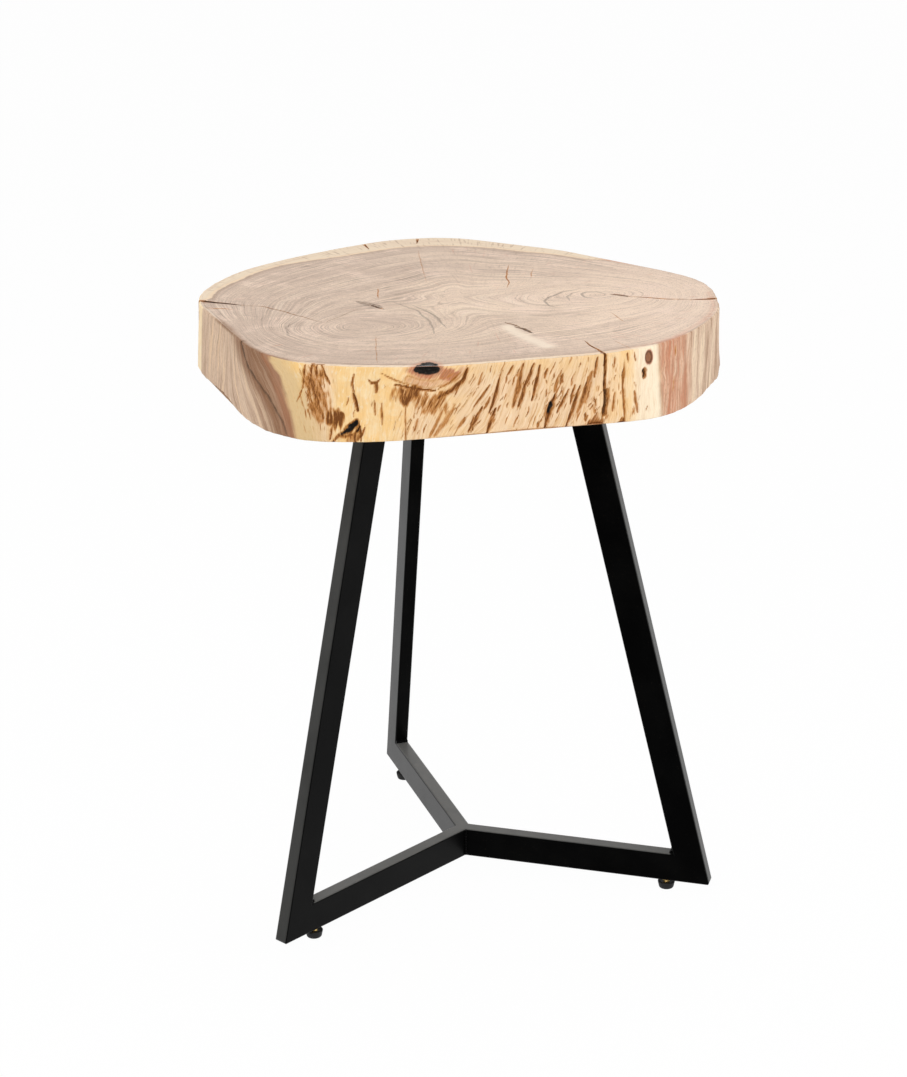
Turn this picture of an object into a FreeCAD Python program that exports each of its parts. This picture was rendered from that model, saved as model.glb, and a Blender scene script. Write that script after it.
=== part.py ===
import FreeCAD, Part
import math
import os

# Side table: a slice of tree trunk on three welded V legs of flat steel tube.
# Millimetres, +Z up, +Y to the back. The origin is on the floor, under the middle of the slice,
# where the three base bars meet.

# Whole table
TABLE_HEIGHT = 500.0

# Slice of trunk: rim radii of the top outline, counter-clockwise from +X in even steps,
# and how far the lower outline stands out from it (plus) or is undercut (minus)
SLAB_THICKNESS = 55.0
RIM_RADII = (206, 198, 181, 173, 179, 186, 206, 209, 200, 197, 201, 204,
             206, 198, 199, 216, 225, 215, 206, 201, 209, 215, 213, 211)
RIM_FLARE = (3, 2, 3, 2, 0, 0, 3, 3, 1, 3, 3, 2,
             2, 2, 3, 5, 9, 4, -6, -8, -6, 5, 1, 0)
RIM_EASE = 1.5

# Drying checks: direction of the mouth in the rim, length inwards, mouth width and depth from the top
CHECK_MOUTH = 2.0
LEFT_CHECK_ANGLE = 181.5
LEFT_CHECK_LENGTH = 34.0
LEFT_CHECK_DEPTH = 16.0
RIGHT_CHECK_ANGLE = 354.0
RIGHT_CHECK_LENGTH = 40.0
RIGHT_CHECK_DEPTH = 20.0
FRONT_CHECK_ANGLE = 300.5
FRONT_CHECK_LENGTH = 26.0
FRONT_CHECK_DEPTH = 45.0

# Hollow of the dead knot in the front of the rim
KNOT_ANGLE = 264.0
KNOT_WIDTH = 20.0
KNOT_DEPTH = 3.0
KNOT_DROP = 4.0

# Flat steel tube of the frame
TUBE_DEPTH = 25.0
TUBE_WIDTH = 12.0
TUBE_WALL = 1.2
TUBE_CORNER = 1.5

# Base bars and legs
BAR_REACH = 216.0
BAR_HEADINGS = {"left": 226.5, "right": 343.0, "rear": 107.5}
LEG_LEANS = {"left": 14.5, "right": 13.5, "rear": 13.0}
TOE_ROUND = 2.4

# Weld beads
CORNER_WELD = 4.0
CENTRE_WELD = 3.0
PLATE_WELD = 3.0
PLATE_WELD_LENGTH = 18.0

# Mounting plates under the slice
PLATE_LENGTH = 90.0
PLATE_WIDTH = 28.0
PLATE_THICKNESS = 3.0
PLATE_CORNER = 4.0
SCREW_INSET = 12.0

# Wood screws with low round heads, without their thread and point
SCREW_LENGTH = 30.0
SCREW_SHANK = 4.5
SCREW_HEAD = 10.0
SCREW_HEAD_HEIGHT = 3.2
SCREW_PLATE_CLEARANCE = 0.5
SCREW_WOOD_CLEARANCE = 0.05

# Levelling feet
FOOT_INSET = 38.0
FOOT_GAP = 2.5
FOOT_UP_TRAVEL = 2.0
PAD_HEIGHT = 6.0
PAD_TOP = 14.6
PAD_BOTTOM = 12.4
PAD_FLOOR = 1.6
STUD_DIAMETER = 5.9
STUD_LIP = 1.5
STUD_HEAD_HEIGHT = 1.6
STUD_HEADROOM = 4.0
STUD_FIT = 0.05
SWIVEL_FIT = 0.1
BUSH_LENGTH = 10.0
BUSH_SIDE_GAP = 0.4

# Heights that follow from the sizes above
BAR_UNDERSIDE = PAD_HEIGHT + FOOT_GAP
BAR_TOP = BAR_UNDERSIDE + TUBE_DEPTH
SLAB_UNDERSIDE = TABLE_HEIGHT - SLAB_THICKNESS
PLATE_UNDERSIDE = SLAB_UNDERSIDE - PLATE_THICKNESS
FOOT_REACH = BAR_REACH - FOOT_INSET
BUSH_DIAMETER = TUBE_WIDTH - 2 * TUBE_WALL - 2 * BUSH_SIDE_GAP

# Cutting shapes reach this far past what they cut
OVERRUN = 2 * TUBE_DEPTH

SIDES = tuple(BAR_HEADINGS)
UP = FreeCAD.Vector(0, 0, 1)
ACROSS = FreeCAD.Vector(0, 1, 0)
ORIGIN = FreeCAD.Vector(0, 0, 0)


def polar(radius, angle, z=0.0):
    """Point at a radius and an angle in degrees from +X, at height z."""
    turn = math.radians(angle)
    return FreeCAD.Vector(radius * math.cos(turn), radius * math.sin(turn), z)


def flat_face(points):
    """Face with straight edges through the points."""
    return Part.Face(Part.makePolygon(list(points) + [points[0]]))


def plan_prism(points, bottom, height):
    """Upright prism on an outline of (x, y) points."""
    outline = [FreeCAD.Vector(x, y, bottom) for x, y in points]
    return flat_face(outline).extrude(UP * height)


def side_prism(edges, width):
    """Prism across the V's plane, centred on it, on an outline of edges in that plane."""
    face = Part.Face(Part.Wire(edges))
    face.translate(ACROSS * (-width / 2))
    return face.extrude(ACROSS * width)


def side_lines(points):
    """Closed run of straight edges through (x, z) points of the V's plane."""
    corners = [FreeCAD.Vector(x, 0, z) for x, z in points]
    return Part.makePolygon(corners + [corners[0]]).Edges


def turned(edges):
    """Solid of revolution about the Z axis on a closed outline of edges in the XZ plane."""
    return Part.Face(Part.Wire(edges)).revolve(ORIGIN, UP, 360)


def bar_stock(depth, width, length):
    """Plain rectangular block along +Z with one narrow face on x = 0 and its middle on y = 0."""
    return Part.makeBox(depth, width, length, FreeCAD.Vector(-depth, -width / 2, 0))


def upright_edges(block):
    """Edges of a block that run along Z."""
    return [edge for edge in block.Edges if abs(edge.tangentAt(edge.FirstParameter).z) > 0.99]


def tube(length):
    """Flat tube along +Z with its outer narrow face on x = 0 and its middle on y = 0."""
    outside = bar_stock(TUBE_DEPTH, TUBE_WIDTH, length)
    outside = outside.makeFillet(TUBE_CORNER, upright_edges(outside))
    inside = bar_stock(TUBE_DEPTH - 2 * TUBE_WALL, TUBE_WIDTH - 2 * TUBE_WALL, length)
    inside.translate(FreeCAD.Vector(-TUBE_WALL, 0, 0))
    return outside.cut(inside)


def leg_direction(lean):
    """Unit (x, z) direction of a leg from its toe to its top."""
    return -math.sin(math.radians(lean)), math.cos(math.radians(lean))


def inner_corner(lean):
    """The (x, z) point where the leg's inner face meets the bar's top."""
    slant = math.radians(lean)
    run = TUBE_DEPTH / math.cos(slant) + TUBE_DEPTH * math.tan(slant)
    return BAR_REACH - run, BAR_TOP


def mitre_line(lean):
    """Two (x, z) points on the mitre, outside the toe and far past the inner corner."""
    inner_x, inner_z = inner_corner(lean)
    slope = (inner_z - BAR_UNDERSIDE) / (BAR_REACH - inner_x)
    toe = (BAR_REACH + OVERRUN, BAR_UNDERSIDE - OVERRUN * slope)
    far = (-OVERRUN, BAR_UNDERSIDE + (BAR_REACH + OVERRUN) * slope)
    return toe, far


def toe_cutter(lean):
    """Tool that rounds the toe, where the leg's outer face meets the bar's underside."""
    leg_x, leg_z = leg_direction(lean)
    half_angle = math.radians(90 - lean) / 2
    tangent = TOE_ROUND / math.tan(half_angle)
    bisector = FreeCAD.Vector(leg_x - 1, 0, leg_z).normalize()
    toe = FreeCAD.Vector(BAR_REACH, 0, BAR_UNDERSIDE)
    on_bar = toe + FreeCAD.Vector(-tangent, 0, 0)
    on_leg = toe + FreeCAD.Vector(leg_x, 0, leg_z) * tangent
    middle = toe + bisector * (TOE_ROUND / math.sin(half_angle) - TOE_ROUND)
    below = on_bar - UP * TUBE_DEPTH
    beside = on_leg + FreeCAD.Vector(leg_z, 0, -leg_x) * TUBE_DEPTH
    outside = toe - bisector * OVERRUN * 2
    edges = [Part.Arc(on_bar, middle, on_leg).toShape()]
    edges += Part.makePolygon([on_leg, beside, outside, below, on_bar]).Edges
    return side_prism(edges, 2 * TUBE_WIDTH)


def neighbours(side):
    """Angles from a bar's heading to the next bar clockwise and counter-clockwise."""
    turns = sorted((BAR_HEADINGS[other] - BAR_HEADINGS[side]) % 360 for other in SIDES if other != side)
    return turns[-1] - 360, turns[0]


def base_bar(side):
    """Bar from the hub to the toe, mitred to its neighbours and to its leg, with the bush's hole."""
    lean = LEG_LEANS[side]
    bar = tube(BAR_REACH + 2 * OVERRUN)
    bar.rotate(ORIGIN, ACROSS, 90)
    bar.translate(FreeCAD.Vector(-OVERRUN, 0, BAR_UNDERSIDE))
    clockwise, counter = neighbours(side)
    reach = 2 * (BAR_REACH + OVERRUN)
    wedge = [(0.0, 0.0)] + [tuple(polar(reach, turn / 2))[:2] for turn in (clockwise, counter)]
    bar = bar.common(plan_prism(wedge, 0.0, BAR_TOP + OVERRUN))
    toe, far = mitre_line(lean)
    under = side_lines([toe, far, (far[0], toe[1])])
    bar = bar.common(side_prism(under, 2 * TUBE_WIDTH))
    bar = bar.cut(toe_cutter(lean))
    hole = Part.makeCylinder(BUSH_DIAMETER / 2, TUBE_WALL * 2, polar(FOOT_REACH, 0, BAR_UNDERSIDE - TUBE_WALL / 2))
    return bar.cut(hole)


def leg(side):
    """Leg from the toe to the plate, mitred to its bar."""
    lean = LEG_LEANS[side]
    leg_x, leg_z = leg_direction(lean)
    length = (PLATE_UNDERSIDE - BAR_UNDERSIDE) / leg_z + 2 * OVERRUN
    upright = tube(length)
    upright.rotate(ORIGIN, ACROSS, -lean)
    upright.translate(FreeCAD.Vector(BAR_REACH - leg_x * OVERRUN, 0, BAR_UNDERSIDE - leg_z * OVERRUN))
    toe, far = mitre_line(lean)
    over = side_lines([toe, far, (far[0], PLATE_UNDERSIDE), (toe[0], PLATE_UNDERSIDE)])
    upright = upright.common(side_prism(over, 2 * TUBE_WIDTH))
    return upright.cut(toe_cutter(lean))


def corner_weld(side):
    """Bead in the inner corner of the V."""
    lean = LEG_LEANS[side]
    leg_x, leg_z = leg_direction(lean)
    inner_x, inner_z = inner_corner(lean)
    on_bar = (inner_x - CORNER_WELD, inner_z)
    on_leg = (inner_x + leg_x * CORNER_WELD, inner_z + leg_z * CORNER_WELD)
    return side_prism(side_lines([(inner_x, inner_z), on_bar, on_leg]), TUBE_WIDTH - 2 * TUBE_CORNER)


def centre_weld():
    """Upright beads in the three nooks between the bars at the hub."""
    beads = []
    for side in SIDES:
        heading = BAR_HEADINGS[side]
        turn = neighbours(side)[1]
        nook = polar(TUBE_WIDTH / 2 / math.sin(math.radians(turn / 2)), heading + turn / 2)
        ends = [nook + polar(CENTRE_WELD, heading), nook + polar(CENTRE_WELD, heading + turn)]
        outline = [(point.x, point.y) for point in [nook] + ends]
        beads.append(plan_prism(outline, BAR_UNDERSIDE + TUBE_CORNER, TUBE_DEPTH - 2 * TUBE_CORNER))
    return Part.makeCompound(beads)


def leg_top(side):
    """Distance from the hub to the middle of the leg's top."""
    slant = math.radians(LEG_LEANS[side])
    rise = PLATE_UNDERSIDE - BAR_UNDERSIDE
    return BAR_REACH - rise * math.tan(slant) - TUBE_DEPTH / math.cos(slant) / 2


def plate_weld(side):
    """Beads along both wide faces of the leg, under its plate."""
    middle = leg_top(side)
    beads = []
    for hand in (-1, 1):
        face = hand * TUBE_WIDTH / 2
        corners = [(face, 0.0), (face + hand * PLATE_WELD, 0.0), (face, -PLATE_WELD)]
        start = middle - PLATE_WELD_LENGTH / 2
        outline = [FreeCAD.Vector(start, y, PLATE_UNDERSIDE + z) for y, z in corners]
        beads.append(flat_face(outline).extrude(FreeCAD.Vector(PLATE_WELD_LENGTH, 0, 0)))
    return Part.makeCompound(beads)


def screw_places(side):
    """Plan positions of a plate's screws in its V's own frame."""
    along = PLATE_LENGTH / 2 - SCREW_INSET
    return [(leg_top(side) + hand * along, 0.0) for hand in (-1, 1)]


def mounting_plate(side):
    """Plate welded on the leg's top, with cut corners and a hole for each screw."""
    plate = bar_stock(PLATE_LENGTH, PLATE_WIDTH, PLATE_THICKNESS)
    plate = plate.makeChamfer(PLATE_CORNER, upright_edges(plate))
    plate.translate(FreeCAD.Vector(leg_top(side) + PLATE_LENGTH / 2, 0, PLATE_UNDERSIDE))
    hole = SCREW_SHANK / 2 + SCREW_PLATE_CLEARANCE
    for x, y in screw_places(side):
        place = FreeCAD.Vector(x, y, PLATE_UNDERSIDE - PLATE_THICKNESS / 2)
        plate = plate.cut(Part.makeCylinder(hole, 2 * PLATE_THICKNESS, place))
    return plate


def wood_screw():
    """Screw standing head down, with the underside of its head on z = 0."""
    head = SCREW_HEAD / 2
    shank = SCREW_SHANK / 2
    return turned(side_lines([(0, -SCREW_HEAD_HEIGHT), (head, -SCREW_HEAD_HEIGHT), (head, 0), (shank, 0),
                              (shank, SCREW_LENGTH), (0, SCREW_LENGTH)]))


def plate_screws():
    """The screws of all three plates, as a group."""
    screws = []
    for side in SIDES:
        for x, y in screw_places(side):
            screw = wood_screw()
            screw.translate(FreeCAD.Vector(x, y, PLATE_UNDERSIDE))
            screw.rotate(ORIGIN, UP, BAR_HEADINGS[side])
            screws.append(screw)
    return Part.makeCompound(screws)


def thread_bushes():
    """Bushes in the bars' lower walls, flush with their undersides, as a group."""
    bushes = []
    for heading in BAR_HEADINGS.values():
        place = polar(FOOT_REACH, heading, BAR_UNDERSIDE)
        bush = Part.makeCylinder(BUSH_DIAMETER / 2, BUSH_LENGTH, place)
        bushes.append(bush.cut(Part.makeCylinder(STUD_DIAMETER / 2 + STUD_FIT, BUSH_LENGTH, place)))
    return Part.makeCompound(bushes)


def foot_stud(side):
    """Stud with the round head that its pad holds captive."""
    shank = STUD_DIAMETER / 2
    head = shank + STUD_LIP
    foot = PAD_FLOOR + SWIVEL_FIT
    top = BAR_TOP - TUBE_WALL - FOOT_UP_TRAVEL - STUD_HEADROOM
    stud = turned(side_lines([(0, foot), (head, foot), (head, foot + STUD_HEAD_HEIGHT),
                              (shank, foot + STUD_HEAD_HEIGHT), (shank, top), (0, top)]))
    stud.translate(polar(FOOT_REACH, 0))
    return stud


def foot_pad(side):
    """Moulded cup that tapers to the floor, with the hollow for the stud's head."""
    shank = STUD_DIAMETER / 2 + SWIVEL_FIT
    head = shank + STUD_LIP
    roof = PAD_FLOOR + STUD_HEAD_HEIGHT + 2 * SWIVEL_FIT
    pad = turned(side_lines([(0, 0), (PAD_BOTTOM / 2, 0), (PAD_TOP / 2, PAD_HEIGHT), (shank, PAD_HEIGHT),
                             (shank, roof), (head, roof), (head, PAD_FLOOR), (0, PAD_FLOOR)]))
    pad.translate(polar(FOOT_REACH, 0))
    return pad


def rim_wire(radii, z):
    """Smooth closed outline of the slice at height z."""
    step = 360.0 / len(radii)
    curve = Part.BSplineCurve()
    curve.interpolate([polar(radius, index * step, z) for index, radius in enumerate(radii)], True)
    return Part.Wire([curve.toShape()])


def rim_radius(angle):
    """Radius of the top outline at an angle, between its two nearest points."""
    step = 360.0 / len(RIM_RADII)
    index = int(angle // step)
    share = angle / step - index
    first = RIM_RADII[index % len(RIM_RADII)]
    second = RIM_RADII[(index + 1) % len(RIM_RADII)]
    return first + (second - first) * share


def drying_check(angle, length, depth):
    """Wedge that opens a check from the rim inwards and down from the top."""
    mouth = rim_radius(angle) + OVERRUN
    half = CHECK_MOUTH / 2 * (length + OVERRUN) / length
    outline = [(mouth - length - OVERRUN, 0.0), (mouth, -half), (mouth, half)]
    wedge = plan_prism(outline, TABLE_HEIGHT - depth, depth + OVERRUN)
    wedge.rotate(ORIGIN, UP, angle)
    return wedge


def knot_hollow():
    """Ball that scoops the dead knot out of the rim."""
    radius = (KNOT_WIDTH ** 2 / 4 + KNOT_DEPTH ** 2) / (2 * KNOT_DEPTH)
    middle = polar(rim_radius(KNOT_ANGLE) - KNOT_DEPTH + radius, KNOT_ANGLE, TABLE_HEIGHT - KNOT_DROP)
    return Part.makeSphere(radius, middle)


def slab_top():
    """Live-edge slice with eased rims, checks, the knot's hollow and the screws' pilot holes."""
    lower = [radius + flare for radius, flare in zip(RIM_RADII, RIM_FLARE)]
    outlines = [([radius - RIM_EASE for radius in lower], SLAB_UNDERSIDE),
                (lower, SLAB_UNDERSIDE + RIM_EASE),
                (RIM_RADII, TABLE_HEIGHT - RIM_EASE),
                ([radius - RIM_EASE for radius in RIM_RADII], TABLE_HEIGHT)]
    slab = Part.makeLoft([rim_wire(radii, z) for radii, z in outlines], True, True)
    slab = slab.cut(drying_check(LEFT_CHECK_ANGLE, LEFT_CHECK_LENGTH, LEFT_CHECK_DEPTH))
    slab = slab.cut(drying_check(RIGHT_CHECK_ANGLE, RIGHT_CHECK_LENGTH, RIGHT_CHECK_DEPTH))
    slab = slab.cut(drying_check(FRONT_CHECK_ANGLE, FRONT_CHECK_LENGTH, FRONT_CHECK_DEPTH))
    slab = slab.cut(knot_hollow())
    pilot = SCREW_SHANK / 2 + SCREW_WOOD_CLEARANCE
    bite = SCREW_LENGTH - PLATE_THICKNESS + SCREW_WOOD_CLEARANCE
    for side in SIDES:
        for x, y in screw_places(side):
            hole = Part.makeCylinder(pilot, bite, FreeCAD.Vector(x, y, SLAB_UNDERSIDE))
            hole.rotate(ORIGIN, UP, BAR_HEADINGS[side])
            slab = slab.cut(hole)
    return slab


def write(name, shape):
    """Write one piece and print its size."""
    shape.exportStep(os.path.join("parts", name + ".step"))
    box = shape.BoundBox
    print(name, "solids", len(shape.Solids), "valid", shape.isValid(), "volume %.0f" % shape.Volume,
          "x %.2f %.2f y %.2f %.2f z %.2f %.2f" % (box.XMin, box.XMax, box.YMin, box.YMax, box.ZMin, box.ZMax))


MAKERS = {"leg": leg, "base_bar": base_bar, "corner_weld": corner_weld, "plate_weld": plate_weld,
          "mounting_plate": mounting_plate, "foot_stud": foot_stud, "foot_pad": foot_pad}

os.makedirs("parts", exist_ok=True)
write("slab_top", slab_top())
write("centre_weld", centre_weld())
write("plate_screws", plate_screws())
write("thread_bushes", thread_bushes())
for piece, maker in MAKERS.items():
    for place in SIDES:
        solid = maker(place)
        solid.rotate(ORIGIN, UP, BAR_HEADINGS[place])
        write(piece + "_" + place, solid)
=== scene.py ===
import logging
import math
from dataclasses import dataclass
from enum import Enum
from typing import Any, Callable, Dict, List, Optional, Sequence, Tuple, Union

import bpy
import numpy as np
from bpy.types import Material, Mesh, Node, NodeSocket, NodeTree, Object
from mathutils import Matrix, Vector, geometry


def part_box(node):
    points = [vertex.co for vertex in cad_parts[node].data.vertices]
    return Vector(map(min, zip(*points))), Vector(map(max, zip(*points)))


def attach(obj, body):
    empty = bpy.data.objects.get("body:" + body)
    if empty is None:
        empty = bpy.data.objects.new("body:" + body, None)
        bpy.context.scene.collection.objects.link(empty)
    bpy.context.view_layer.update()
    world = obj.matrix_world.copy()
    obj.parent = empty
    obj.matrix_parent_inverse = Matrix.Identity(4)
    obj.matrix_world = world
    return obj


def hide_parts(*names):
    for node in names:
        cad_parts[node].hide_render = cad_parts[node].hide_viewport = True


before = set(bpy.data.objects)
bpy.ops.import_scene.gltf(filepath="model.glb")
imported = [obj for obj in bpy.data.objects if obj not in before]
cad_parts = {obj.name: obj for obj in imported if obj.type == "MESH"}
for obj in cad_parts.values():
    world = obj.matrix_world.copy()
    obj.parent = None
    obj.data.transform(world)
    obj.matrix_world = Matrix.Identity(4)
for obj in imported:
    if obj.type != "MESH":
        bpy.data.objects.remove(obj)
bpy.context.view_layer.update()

# Side table: a slice of tree trunk on three welded V legs of flat steel tube.
# Sizes below are millimetres unless a name says otherwise; meshes are written in metres.

LOG = logging.getLogger("side_table")
MM = 0.001
FULL_TURN = 360.0
LATTICE_ROWS = 64
LATTICE_PERIOD = 4000

Colour = Tuple[float, float, float]
Point = Tuple[float, float, float]
Pair = Tuple[float, float]
Run = Tuple[Pair, ...]
Field = np.ndarray


class Side(Enum):
    """The three V legs, with the heading of each base bar in degrees from +X."""

    LEFT = 226.5
    RIGHT = 343.0
    REAR = 107.5

    @property
    def label(self) -> str:
        """Name of the side as the frame's nodes and bodies spell it."""
        return self.name.lower()


# Nodes


def add_node(tree: NodeTree, kind: str, settings: Optional[Dict[str, Any]], sockets: Optional[Dict[Any, Any]]) -> Node:
    """Add any node to a tree.

    Args:
        tree: Tree that it goes into.
        kind: Node's type.
        settings: Node's own settings, which are set first.
        sockets: Values, sockets or signals by socket name or index.

    Returns:
        The node.
    """
    made = tree.nodes.new(kind)
    for name, value in (settings or {}).items():
        setattr(made, name, value)
    for key, value in (sockets or {}).items():
        source = value.socket if isinstance(value, Signal) else value
        if isinstance(source, NodeSocket):
            tree.links.new(source, made.inputs[key])
        elif isinstance(value, tuple) and made.inputs[key].type == "RGBA":
            made.inputs[key].default_value = (*value, 1.0)
        else:
            made.inputs[key].default_value = value
    return made


class Signal:
    """A node's output that takes part in plain arithmetic."""

    def __init__(self, graph: "ShaderGraph", socket: NodeSocket) -> None:
        """Wrap an output socket of a graph."""
        self.graph = graph
        self.socket = socket

    def _math(self, operation: str, first: Any, second: Any = None) -> "Signal":
        """Result of a Math node with one value or two."""
        sockets = {0: first} if second is None else {0: first, 1: second}
        return self.graph.node("ShaderNodeMath", {"operation": operation}, sockets)

    def __add__(self, other: Any) -> "Signal":
        """Sum."""
        return self._math("ADD", self, other)

    def __radd__(self, other: Any) -> "Signal":
        """Sum with the number first."""
        return self._math("ADD", other, self)

    def __sub__(self, other: Any) -> "Signal":
        """Difference."""
        return self._math("SUBTRACT", self, other)

    def __rsub__(self, other: Any) -> "Signal":
        """Difference with the number first."""
        return self._math("SUBTRACT", other, self)

    def __mul__(self, other: Any) -> "Signal":
        """Product."""
        return self._math("MULTIPLY", self, other)

    def __rmul__(self, other: Any) -> "Signal":
        """Product with the number first."""
        return self._math("MULTIPLY", other, self)

    def __truediv__(self, other: Any) -> "Signal":
        """Quotient."""
        return self._math("DIVIDE", self, other)

    def __rtruediv__(self, other: Any) -> "Signal":
        """Quotient with the number first."""
        return self._math("DIVIDE", other, self)

    def least(self, other: Any) -> "Signal":
        """Smaller of the two."""
        return self._math("MINIMUM", self, other)

    def most(self, other: Any) -> "Signal":
        """Larger of the two."""
        return self._math("MAXIMUM", self, other)

    def fraction(self) -> "Signal":
        """Part after the decimal point."""
        return self._math("FRACT", self)

    def soft_least(self, other: Any, reach: float) -> "Signal":
        """Smaller of the two, rounded over a reach where they cross."""
        return self.graph.node("ShaderNodeMath", {"operation": "SMOOTH_MIN"}, {0: self, 1: other, 2: reach})

    def step(self, low: float, high: float) -> "Signal":
        """Smooth step from 0 at low to 1 at high, or downwards where low is above high."""
        start, end, first, last = (low, high, 0.0, 1.0) if low < high else (high, low, 1.0, 0.0)
        return self.graph.node("ShaderNodeMapRange", {"interpolation_type": "SMOOTHSTEP"},
                               {0: self, 1: start, 2: end, 3: first, 4: last})


class ShaderGraph:
    """Builds one material's or world's nodes."""

    def __init__(self, tree: NodeTree) -> None:
        """Start from an empty tree."""
        self.tree = tree
        tree.nodes.clear()

    def node(self, kind: str, settings: Optional[Dict[str, Any]] = None, sockets: Optional[Dict[Any, Any]] = None,
             output: Union[int, str] = 0) -> Signal:
        """Output of a new node."""
        return Signal(self, add_node(self.tree, kind, settings, sockets).outputs[output])

    def attribute(self, name: str) -> Signal:
        """Value of a mesh attribute."""
        return self.node("ShaderNodeAttribute", {"attribute_name": name}, output="Fac")

    def place(self) -> Signal:
        """Object coordinates in millimetres."""
        spot = self.node("ShaderNodeTexCoord", output="Object")
        return self.scaled(spot, (1 / MM, 1 / MM, 1 / MM))

    def scaled(self, vector: Signal, scale: Point) -> Signal:
        """Vector times a vector of factors."""
        return self.node("ShaderNodeVectorMath", {"operation": "MULTIPLY"}, {0: vector, 1: scale})

    def moved(self, vector: Signal, offset: Any) -> Signal:
        """Vector plus an offset."""
        return self.node("ShaderNodeVectorMath", {"operation": "ADD"}, {0: vector, 1: offset})

    def length(self, vector: Signal) -> Signal:
        """Length of a vector."""
        return self.node("ShaderNodeVectorMath", {"operation": "LENGTH"}, {0: vector}, output="Value")

    def joined(self, x: Any, y: Any, z: Any) -> Signal:
        """Vector from three values."""
        return self.node("ShaderNodeCombineXYZ", None, {0: x, 1: y, 2: z})

    def part(self, vector: Signal, axis: int) -> Signal:
        """One coordinate of a vector."""
        return self.node("ShaderNodeSeparateXYZ", None, {0: vector}, output=axis)

    def noise(self, vector: Signal, scale: float = 1.0, detail: float = 2.0, rough: float = 0.5,
              output: str = "Fac") -> Signal:
        """Noise of a scale, detail and roughness, as a value or, with output "Color", as three."""
        return self.node("ShaderNodeTexNoise", None,
                         {"Vector": vector, "Scale": scale, "Detail": detail, "Roughness": rough}, output=output)

    def mix(self, share: Any, first: Any, second: Any) -> Signal:
        """A share of the second colour over the first."""
        settings = {"data_type": "RGBA", "blend_type": "MIX", "clamp_factor": True}
        return self.node("ShaderNodeMix", settings, {0: share, 6: first, 7: second}, output=2)

    def layered(self, colour: Any, *layers: Tuple[Any, Any]) -> Signal:
        """Lay colours over one another.

        Args:
            colour: Lowest colour.
            layers: Share and colour of each layer over it.

        Returns:
            The colour that shows.
        """
        for share, over in layers:
            colour = self.mix(share, colour, over)
        return colour

    def bump(self, height: Signal, metres: float, strength: float) -> Signal:
        """Normal bent by a height from 0 to 1, with its scale in metres and the share that shows."""
        return self.node("ShaderNodeBump", None, {"Height": height, "Distance": metres, "Strength": strength})

    def show(self, shader: Signal, kind: str = "ShaderNodeOutputMaterial") -> None:
        """Lead a shader to a new output node."""
        self.tree.links.new(shader.socket, self.tree.nodes.new(kind).inputs["Surface"])


# Finishes


class Finish:
    """A finish that builds its own material around one Principled shader."""

    name: str

    def material(self) -> Material:
        """Build the material.

        Returns:
            The material.
        """
        material = bpy.data.materials.new(self.name)
        material.use_nodes = True
        graph = ShaderGraph(material.node_tree)
        graph.show(graph.node("ShaderNodeBsdfPrincipled", None, self.sockets(graph)))
        return material

    def sockets(self, graph: ShaderGraph) -> Dict[str, Any]:
        """Values and signals of the shader's sockets, by name."""
        raise NotImplementedError


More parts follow.
